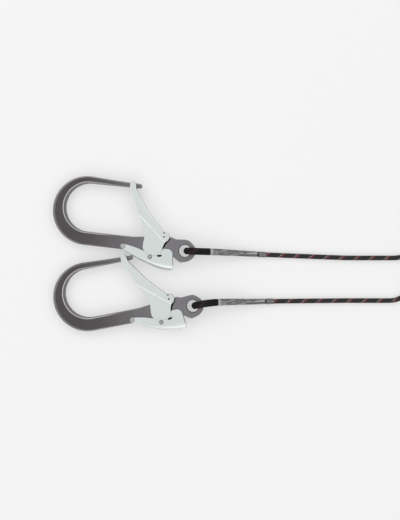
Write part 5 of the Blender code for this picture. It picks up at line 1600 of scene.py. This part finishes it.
# %% Webbing loops
WEB_WIDTH, WEB_T, WEB_NECK = 25.0 * MM, 2.6 * MM, 22.0 * MM
LINK_FOLD, ROD_FOLD, ROOT_IN = 22.0 * MM, 15.0 * MM, 14.7 * MM
ROD_R, SMALL_END_R = 5.0 * MM, 18.0 * MM
wire_x = LINK_X + LINK_R
cover_x, cover_end = 678.0 * MM, 848.0 * MM
rod_x = 875.0 * MM


def bow_depth(ring_r, rod_r, half_width):
    """How much further in a straight band must lie to clear a curved rod."""
    chord = math.sqrt(ring_r**2 - half_width**2)
    return ring_r - chord + rod_r * (ring_r / chord - 1.0)


def web_loop(name, node, bend_x, away, direction, root_x, narrow, material):
    """A band round a rod at bend_x and back into the pouch at root_x, in place of a CAD node."""
    root_off = 0.5 * WEB_T + 0.15 * MM
    slant = math.atan2(root_off, WEB_NECK) + math.acos(away / math.hypot(WEB_NECK, root_off))
    leave = 180.0 - math.degrees(slant)
    turn = [(bend_x - direction * p.x, p.y) for p in arc((0.0, 0.0), away, leave, -leave, 20)]
    neck_x = bend_x + direction * WEB_NECK
    start = [(root_x + (neck_x - root_x) * k / 8, root_off) for k in range(8)]
    run, rise = turn[0][0] - neck_x, turn[0][1] - root_off
    start += [(neck_x + run * k / 12, root_off + rise * k / 12) for k in range(12)]
    back = [(x, -z) for x, z in reversed(start)]
    path = [Vector((x, MID_Y, LINK_Z + z)) for x, z in [*start, *turn, *back]]
    tip_x, rings = path[len(path) // 2].x, []
    reach = abs(path[0].x - tip_x)
    for k, point in enumerate(path):
        share = min(1.0, abs(point.x - tip_x) / (0.6 * reach))
        along = (path[min(len(path) - 1, k + 1)] - path[max(0, k - 1)]).normalized()
        square = Vector((-along.z, 0.0, along.x))
        width = narrow + (WEB_WIDTH - narrow) * share * share
        rings.append(band_ring(point, Vector((0.0, 1.0, 0.0)), square, width, WEB_T))
    band = dress(soft_shading(place(skin(name, rings)), 40.0), material)
    declare(band, "lanyard", "webbing", node)
    print(name, len(band.data.polygons), "faces")


leg_root, harness_root = cover_x - ORIGIN.x, cover_end - ORIGIN.x
leg_tack = ((leg_root - 9.0 * MM, leg_root - 2.0 * MM),)
harness_tack = ((harness_root + 2.0 * MM, harness_root + 9.0 * MM),)
bend_x = wire_x - bow_depth(LINK_R, WIRE, 0.5 * LINK_FOLD)
web_loop("leg_webbing", "absorber_leg_loop", bend_x, WIRE + 2.0 * GAP + 0.5 * WEB_T, 1.0, cover_x + ROOT_IN,
         LINK_FOLD, band_finish("leg_band", leg_tack))
bend_x = rod_x + bow_depth(SMALL_END_R, ROD_R, 0.5 * ROD_FOLD)
web_loop("harness_webbing", "absorber_harness_loop", bend_x, ROD_R + 3.0 * GAP + 0.5 * WEB_T, -1.0,
         cover_end - ROOT_IN, ROD_FOLD, band_finish("harness_band", harness_tack))

# %% [markdown]
# ## Sewn pouch of the absorber
# The folded tear webbing is packed in a pouch of heavy nylon cloth. The pouch is stuffed tight, so its
# faces crown a little, its long sides pull in between the corners, and it puckers beside the cross seams
# near both ends, where it closes round the webbing. A ring of 64 points every few millimetres makes it,
# because the seams need their own dips; a simulation would wash them out.

# %% Pouch
POUCH_LONG, SEAM = 170.0, 13.0
END_SHAPE = ((0.0, 14.4, 4.6), (0.5, 17.4, 8.6), (1.4, 19.6, 11.2), (3.0, 21.2, 12.8), (6.0, 22.5, 14.1),
             (10.0, 23.0, 14.7), (12.0, 22.9, 14.6), (SEAM, 22.5, 14.1), (14.0, 23.0, 14.7),
             (18.0, 23.5, 15.2), (30.0, 23.9, 15.6), (85.0, 24.0, 15.75))


def box_edge(a, wide, high, power):
    """Y and Z, in metres, at an angle round a box with rounded corners; its halves are in mm."""
    c, s = math.cos(a), math.sin(a)
    return math.copysign(abs(c) ** power, c) * wide * MM, math.copysign(abs(s) ** power, s) * high * MM


def pouch_point(along, a, proud=0.0):
    """The cloth at a distance in mm along the pouch and an angle round it, or that far proud of it."""
    to_end = min(along, POUCH_LONG - along)
    stations, *halves = zip(*END_SHAPE)
    wide, high = (np.interp(to_end, stations, half) for half in halves)
    pucker = 0.22 * math.sin(11.0 * a + 0.4) * math.exp(-((to_end - SEAM) / 4.0) ** 2)
    sag = 0.25 * math.sin(0.11 * along + 2.0 * a) + 0.15 * math.sin(0.23 * along - 3.0 * a + 1.0)
    pull = 0.9 * math.sin(math.pi * along / POUCH_LONG)
    wide, high = wide + pucker - pull + sag * 0.5 + proud, high + 0.6 * pucker - abs(sag) * 0.5 + proud
    y, z = box_edge(a, wide, high, 2.0 / 3.4)
    return Vector((cover_x + along * MM, MID_Y + y, max(LINK_Z + z, 0.15 * MM)))


angles = circle(64, 0.5)
shape_marks = [s[0] for s in END_SHAPE[:-1]] + [2.2, 4.5, 8.0, 11.2, 12.6, 13.4, 16.0, 21.0, 24.0, 27.0]
marks = sorted(shape_marks + [POUCH_LONG - s for s in shape_marks] + [33.0 + 4.0 * k for k in range(27)])
pouch_rings = [[pouch_point(along, a) for a in angles] for along in marks]
for end_x, inward in ((cover_x, 1.0), (cover_end, -1.0)):
    mouth = []
    for depth, wide, high in ((0.6, 13.7, 4.0), (5.0, 13.5, 3.7)):
        edge = [box_edge(a, wide, high, 0.5) for a in angles]
        mouth.append([Vector((end_x + inward * depth * MM, MID_Y + y, LINK_Z + z)) for y, z in edge])
    pouch_rings = [*reversed(mouth), *pouch_rings] if inward > 0.0 else [*pouch_rings, *mouth]
pouch = soft_shading(place(skin("sewn_pouch", pouch_rings)), 50.0)
print("pouch:", len(pouch.data.polygons), "faces")

# %% Piping and flap of the pouch
PIPING_R = 1.1 * MM
FLAP_START, FLAP_END, FLAP_TOP, FLAP_LOW = 26.0, 144.0, 62.0, 193.0
trims = []
for edge_angle in (0.0, math.pi):
    line = [pouch_point(along, edge_angle, 0.25) - ORIGIN for along in np.linspace(0.3, 169.7, 110)]
    trims.append(skin("piping", round_rings(line, PIPING_R, 12)))
flap_rings = []
for along in np.linspace(FLAP_START, FLAP_END, 60):
    corner = max(0.0, 1.0 - min(along - FLAP_START, FLAP_END - along) / 7.0)
    low_angle = FLAP_LOW - 9.0 * corner * corner
    sweep = [math.radians(FLAP_TOP + (low_angle - FLAP_TOP) * k / 28) for k in range(29)]
    outside = [pouch_point(along, a, 1.5) - ORIGIN for a in sweep]
    inside = [pouch_point(along, a, 0.35) - ORIGIN for a in reversed(sweep)]
    flap_rings.append([*outside, *inside])
flap = skin("pouch_flap", flap_rings)
piping = joined(*trims)
piping.name = piping.data.name = "pouch_piping"
for trim in (piping, flap):
    soft_shading(trim, 50.0)
    declare(trim, "lanyard", "webbing")
declare(pouch, "lanyard", "webbing", "absorber_cover")
print("flap:", len(flap.data.polygons), "faces")

# %% [markdown]
# ## Pouch cloth
# Heavy nylon is a plain weave of thick yarns, and a stitched seam presses a row of dashes into it. The
# cloth is near black with a little dust, the piping is a tight grey braid, and the flap has a line of red
# thread along its edge.

# %% Pouch finishes


def seam_dashes(tree, position, at, travel):
    """Stitches along a line where position equals at, spaced along travel in metres."""
    beside_line = calc(tree, "ABSOLUTE", less(tree, position, at))
    dash = calc(tree, "FRACT", calc(tree, "DIVIDE", travel, 3.2 * MM))
    return times(tree, calc(tree, "LESS_THAN", beside_line, 0.45 * MM), calc(tree, "LESS_THAN", dash, 0.68))


def cloth_finish(name, around, seams, thread):
    """Nylon cloth whose map is `around` metres round, with stitches at each (along, at) pair."""
    made, tree, shader = finish(name, Roughness=0.7, Sheen_Weight=0.3, Sheen_Roughness=0.5)
    height, u, v = woven(tree, around / (0.9 * MM), 0.9 * MM)
    across = times(tree, u, around)
    dust = noise(tree, objects_place(tree), 45.0, 5.0)
    colour = mix(tree, between(tree, dust, 0.35, 0.7), (0.014, 0.014, 0.016, 1), (0.034, 0.034, 0.037, 1))
    # Painted shade: the low places of the weave, between its yarns, are painted near black.
    colour = mix(tree, between(tree, height, 0.0, 0.6, 0.5, 0.0), colour, grey(0.004))
    relief = bump(tree, height, 0.0004, 0.5)
    for along_map, at in seams:
        position, travel = (v, across) if along_map else (across, v)
        dashes = seam_dashes(tree, position, at, travel)
        colour = mix(tree, dashes, colour, thread)
        relief = bump(tree, dashes, 0.0004, 0.8, relief)
    feed(tree, shader, Base_Color=colour, Normal=relief)
    return made


pouch_seams = tuple((True, at * MM) for at in (15.8, 19.0, 161.2, 158.0))
dress(pouch, cloth_finish("pouch_cloth", 136.0 * MM, pouch_seams, grey(0.16)))
flap_seams = ((True, 3.0 * MM), (True, 115.0 * MM), (False, 4.0 * MM), (False, 46.0 * MM))
dress(flap, cloth_finish("flap_cloth", 110.0 * MM, flap_seams, RED_THREAD))
piping_finish, tree, shader = finish("piping_braid", Roughness=0.7, Sheen_Weight=0.2)
crown = braid_nodes(tree, 6, 9.0 * MM)[1]
# Painted shade: the braid is painted darker in the grooves between its yarns.
feed(tree, shader, Base_Color=mix(tree, crown, grey(0.02), grey(0.12)), Normal=bump(tree, crown, 0.0003, 0.6))
dress(piping, piping_finish)
print("pouch cloth, flap cloth and piping are dressed")

# %% [markdown]
# ## Harness connector
# The connector is a bent steel rod with a narrow and a wide end. Its gate turns on a rivet at the narrow
# end, and a screw sleeve on the gate's thread locks it over the nose. The rod is a rolled skin along its
# own line. It is made in its own frame, whose origin is the middle of the rod at the narrow end, and moves
# to its place last, tipped so that its wide end rests on the floor.

# %% Rod and knuckle
BIG_END_R, CONNECTOR_LENGTH = 26.0 * MM, 100.0 * MM
drop = math.asin((LINK_Z - ROD_R) / CONNECTOR_LENGTH)
connector_frame = Matrix.Translation(Vector((rod_x, MID_Y, LINK_Z)) - ORIGIN) @ Matrix.Rotation(drop, 4, "Y")
lean = math.degrees(math.asin((BIG_END_R - SMALL_END_R) / (CONNECTOR_LENGTH - BIG_END_R - SMALL_END_R)))
narrow_end = arc((SMALL_END_R, 0.0), SMALL_END_R, 90.0 + lean, 270.0 - lean, 12)
wide_end = arc((CONNECTOR_LENGTH - BIG_END_R, 0.0), BIG_END_R, -90.0 - lean, 90.0 + lean, 16)
back = [narrow_end[-1].lerp(wide_end[0], k / 8) for k in range(1, 8)]
rod_path = [*narrow_end, *back, *wide_end]
gate_way = (rod_path[-1] - rod_path[0]).normalized()
hinge, nose = rod_path[0] + gate_way * 4.0 * MM, rod_path[-1] - gate_way * 6.0 * MM
gate_reach = (nose - hinge).length
rod_line = spaced(smooth_line([Vector((*p, 0.0)) for p in [hinge, *rod_path, nose]], 4), 1.4 * MM)
rod = skin("bent_rod", round_rings(rod_line, ROD_R, 32))
rounded(rod, 0.7 * MM, 3)
KNUCKLE_R, PIN_R = 5.6 * MM, 1.8 * MM
knuckle = plate("knuckle", disc(hinge, KNUCKLE_R), -ROD_R, ROD_R, 0.7 * MM, 3)
combined(rod, "UNION", knuckle, solver="MANIFOLD")
tongue_slot = plate("tongue_slot", disc(hinge, 6.8 * MM), -2.3 * MM, 2.3 * MM)
combined(rod, "DIFFERENCE", tongue_slot, bore("pin_bore", PIN_R, 12.0 * MM, hinge), solver="MANIFOLD")
crisp(rod, 40.0)
print("rod:", len(rod.data.polygons), "faces")

# %% Gate with its thread
GATE_START, GATE_END = 6.3 * MM, gate_reach - 1.0 * MM
THREAD_PITCH, THREAD_START = 1.25 * MM, gate_reach - 33.0 * MM


def on_gate(distance, a, radius):
    """A point of the gate's bar at a distance from the hinge."""
    out = Vector((-gate_way.y, gate_way.x, 0.0)) * math.cos(a) + Vector((0.0, 0.0, 1.0)) * math.sin(a)
    return Vector((*(hinge + gate_way * distance), 0.0)) + out * radius


def thread_radius(distance, a):
    """A screw thread near the nose, fading out at both its ends."""
    fade = min(1.0, max(0.0, distance - THREAD_START) / MM, max(0.0, GATE_END - 1.2 * MM - distance) / MM)
    wave = 0.5 + 0.5 * math.cos(2.0 * math.pi * distance / THREAD_PITCH - a)
    return ROD_R - 0.4 * MM * fade * wave


round_turns = circle(32)
distances = [float(d) for d in np.arange(GATE_START + 0.5 * MM, THREAD_START, 1.5 * MM)]
distances += [float(d) for d in np.arange(THREAD_START, GATE_END - 0.4 * MM, 0.25 * MM)]
gate_rings = [[on_gate(GATE_START, a, ROD_R - 0.5 * MM) for a in round_turns]]
gate_rings += [[on_gate(d, a, thread_radius(d, a)) for a in round_turns] for d in distances]
gate_rings.append([on_gate(GATE_END, a, ROD_R - 0.5 * MM) for a in round_turns])
gate_bar = skin("threaded_gate", gate_rings)
TONGUE_R = KNUCKLE_R - 1.2 * MM
tongue_half = Vector((-gate_way.y, gate_way.x)) * TONGUE_R
tongue_root = hinge + gate_way * 2.0 * KNUCKLE_R
tongue = [hinge + tongue_half, hinge - tongue_half, tongue_root - tongue_half, tongue_root + tongue_half]
combined(
    gate_bar,
    "UNION",
    plate("tongue", tongue, -2.0 * MM, 2.0 * MM),
    plate("tongue_end", disc(hinge, TONGUE_R), -2.0 * MM, 2.0 * MM),
    solver="MANIFOLD",
)
combined(gate_bar, "DIFFERENCE", bore("tongue_bore", PIN_R, 12.0 * MM, hinge), solver="MANIFOLD")
crisp(gate_bar, 40.0)
print("gate bar:", len(gate_bar.data.polygons), "faces")

# %% Screw sleeve with its knurl
SLEEVE_LONG = 20.0 * MM
sleeve_begins = GATE_END + 4.0 * MM - 13.0 * MM - SLEEVE_LONG
LIP_AT, LIP_R = (0.0, 0.5, 1.0, 2.6, 3.0, 3.3, 3.6), (6.3, 6.75, 6.9, 6.9, 6.55, 6.55, 6.75)


def knurled(distance, a):
    """The outside of the screw sleeve: plain lips, a groove beside each, and diamonds between."""
    to_end = min(distance, SLEEVE_LONG - distance) / MM
    if to_end < LIP_AT[-1]:
        return np.interp(to_end, LIP_AT, LIP_R) * MM
    left, right = (abs(math.sin(12.0 * a + way * math.pi * distance / (2.1 * MM))) for way in (1.0, -1.0))
    return (6.5 + 0.48 * min(left, right) ** 0.7) * MM


fine_turns = circle(120)
marks = [*LIP_AT, *(3.9 + 0.35 * k for k in range(35)), *(20.0 - at for at in reversed(LIP_AT))]
sleeve_rings = []
for mark in marks:
    sleeve_rings.append([on_gate(sleeve_begins + mark * MM, a, knurled(mark * MM, a)) for a in fine_turns])
for mark, radius in ((20.0, 5.6), (19.7, 5.3), (10.0, 5.3), (0.3, 5.3), (0.0, 5.6)):
    sleeve_rings.append([on_gate(sleeve_begins + mark * MM, a, radius * MM) for a in fine_turns])
screw = crisp(skin("knurled_sleeve", sleeve_rings, closed=True), 30.0)
print("screw sleeve:", len(screw.data.polygons), "faces")

# %% Finish and place the connector's pieces
zinc, tree, shader = finish("zinc_steel", Metallic=1.0)
where = objects_place(tree)
spangle, fine = noise(tree, where, 140.0, 4.0), noise(tree, where, 1500.0, 2.0)
worn = between(tree, noise(tree, where, 35.0, 5.0), 0.5, 0.65)
colour = mix(tree, spangle, (0.34, 0.34, 0.345, 1), (0.52, 0.52, 0.53, 1))
colour = mix(tree, times(tree, worn, 0.4), colour, grey(0.66))
feed(tree, shader, Base_Color=colour, Roughness=between(tree, spangle, 0.3, 0.7, 0.26, 0.42),
     Normal=bump(tree, fine, 0.00005, 0.4))
rivet_half = [(1.5, 0.0), (1.5, 4.9), (2.5, 5.02), (2.6, 5.15), (2.4, 5.32), (1.8, 5.4), (0.9, 5.38),
              (0.2, 5.35)]
rivet = soft_shading(turned("gate_pin", pin_profile(rivet_half), hinge), 35.0)
for piece, node, body, slot in ((rod, "connector_body", "connector", "connector"),
                                (gate_bar, "connector_gate", "connector_gate", "connector"),
                                (screw, "connector_screw_sleeve", "connector_sleeve", "steel"),
                                (rivet, "connector_gate_rivet", "connector", "steel")):
    declare(dress(place(piece, connector_frame), zinc), body, slot, node)
print("connector has four pieces")

# %% [markdown]
# ## Parts that stay as the CAD made them
# The levers' leaf springs, the washers and the folded tear webbing inside the pouch already have their real
# shape. They only get a finish: the spring wire's, a dull one for washers, and a red weave for the webbing,
# with painted shade between its folds.

# %% Finishes for the parts that stay
dull_washer = grained_steel("dull_washer", 700.0, 0.3, 0.5, 0.35, 0.55, 0.00004)
tear_webbing, tree, shader = finish("folded_tear_webbing", Roughness=0.85, Sheen_Weight=0.3)
*flat, upright_place = split(tree, objects_place(tree))
layers = calc(tree, "FRACT", calc(tree, "DIVIDE", upright_place, WEB_T))
weave = times(tree, *(calc(tree, "SINE", times(tree, way, 2.0 * math.pi / (1.4 * MM))) for way in flat))
colour = mix(tree, between(tree, weave, -0.6, 0.6), (0.28, 0.02, 0.025, 1), (0.42, 0.05, 0.05, 1))
# Painted shade: a dark band where each folded layer meets the next.
colour = mix(tree, between(tree, layers, 0.85, 0.92), colour, grey(0.05))
feed(tree, shader, Base_Color=colour, Normal=bump(tree, weave, 0.0004, 0.6))
for name, node in frame["nodes"].items():
    if node.hide_render:
        continue
    material = tear_webbing if "pack" in name else spring_wire if "spring" in name else dull_washer
    for slot in node.material_slots:
        slot.material = material
    print("stays:", name, "with", material.name)

# %% [markdown]
# ## Floor and light
# A plain pale floor carries the lanyard and its shadow. To the camera, and in metal and clear plastic, it
# glows by itself a little, as a lit product table does, which keeps it even and its shadows soft. The light
# is a soft dome: brightest at half height, as from a ring of large soft boxes, calmer right above, dim low
# down and pale again at the horizon, so that flat faces look even, slanting edges catch a bright line and
# folded edges end dark. One soft lamp gives the shadows a side.

# %% Floor
FLOOR_TONE, FLOOR_R = 0.896, 9.0
bpy.ops.object.select_all(action="DESELECT")
below = (0.0, 0.0, -0.5 * MM)
bpy.ops.mesh.primitive_circle_add(vertices=96, radius=FLOOR_R, fill_type="NGON", location=below)
floor = bpy.context.object
floor.name = "studio_floor"
floor_finish, tree, shader = finish("studio_floor", Roughness=0.9, Specular_IOR_Level=0.1)
speck = noise(tree, objects_place(tree), 3.0)
feed(tree, shader, Base_Color=mix(tree, speck, grey(0.84), grey(0.86)))
glow = add(tree, "Emission", {"Color": grey(FLOOR_TONE)})
rays = add(tree, "LightPath").outputs
seen = calc(tree, "MAXIMUM", rays["Is Camera Ray"], rays["Is Glossy Ray"])
seen = calc(tree, "MAXIMUM", seen, rays["Is Transmission Ray"])
table = add(tree, "MixShader", {0: times(tree, seen, 0.5), 1: shader.outputs[0], 2: glow.outputs[0]})
tree.links.new(table.outputs[0], tree.nodes["Material Output"].inputs["Surface"])
dress(floor, floor_finish)
floor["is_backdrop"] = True
print("floor is", round(2.0 * FLOOR_R), "m across")

# %% Dome of light
world = bpy.data.worlds.new("soft_dome")
bpy.context.scene.world = world
world.use_nodes = True
tree = world.node_tree
height = split(tree, add(tree, "TexCoord").outputs["Generated"])[2]
dome = add(tree, "ValToRGB", {"Fac": height})
stops = dome.color_ramp.elements
TONES = (0.0, 0.85), (0.08, 0.8), (0.16, 0.3), (0.36, 0.35), (0.6, 1.35), (0.8, 1.3), (1.0, 0.86)
for place_at, tone in TONES:
    stop = stops[0] if place_at == 0.0 else stops[-1] if place_at == 1.0 else stops.new(place_at)
    stop.color = grey(tone)
tree.links.new(dome.outputs[0], tree.nodes["Background"].inputs["Color"])
bpy.context.scene.view_settings.view_transform = "Standard"
print("dome of light with", len(stops), "steps")

# %% Key lamp
bpy.ops.object.light_add(type="AREA", location=(-1.5, 1.4, 2.0))
key = bpy.context.object
key.name = "soft_key"
key.data.size = 1.2
key.data.energy = 7.0
key.rotation_euler = (Vector((-0.35, 0.0, 0.0)) - key.location).to_track_quat("-Z", "Y").to_euler()
print("key lamp", key.data.energy, "W")

# %% [markdown]
# ## Sizes and the end
# The dressed model stays inside the CAD model's box, apart from cloth that stands a little proud. The
# dressed model's box is printed.

# %% Print the dressed model's box
low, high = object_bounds()
print("visual box", [round(x, 4) for x in low], [round(x, 4) for x in high])
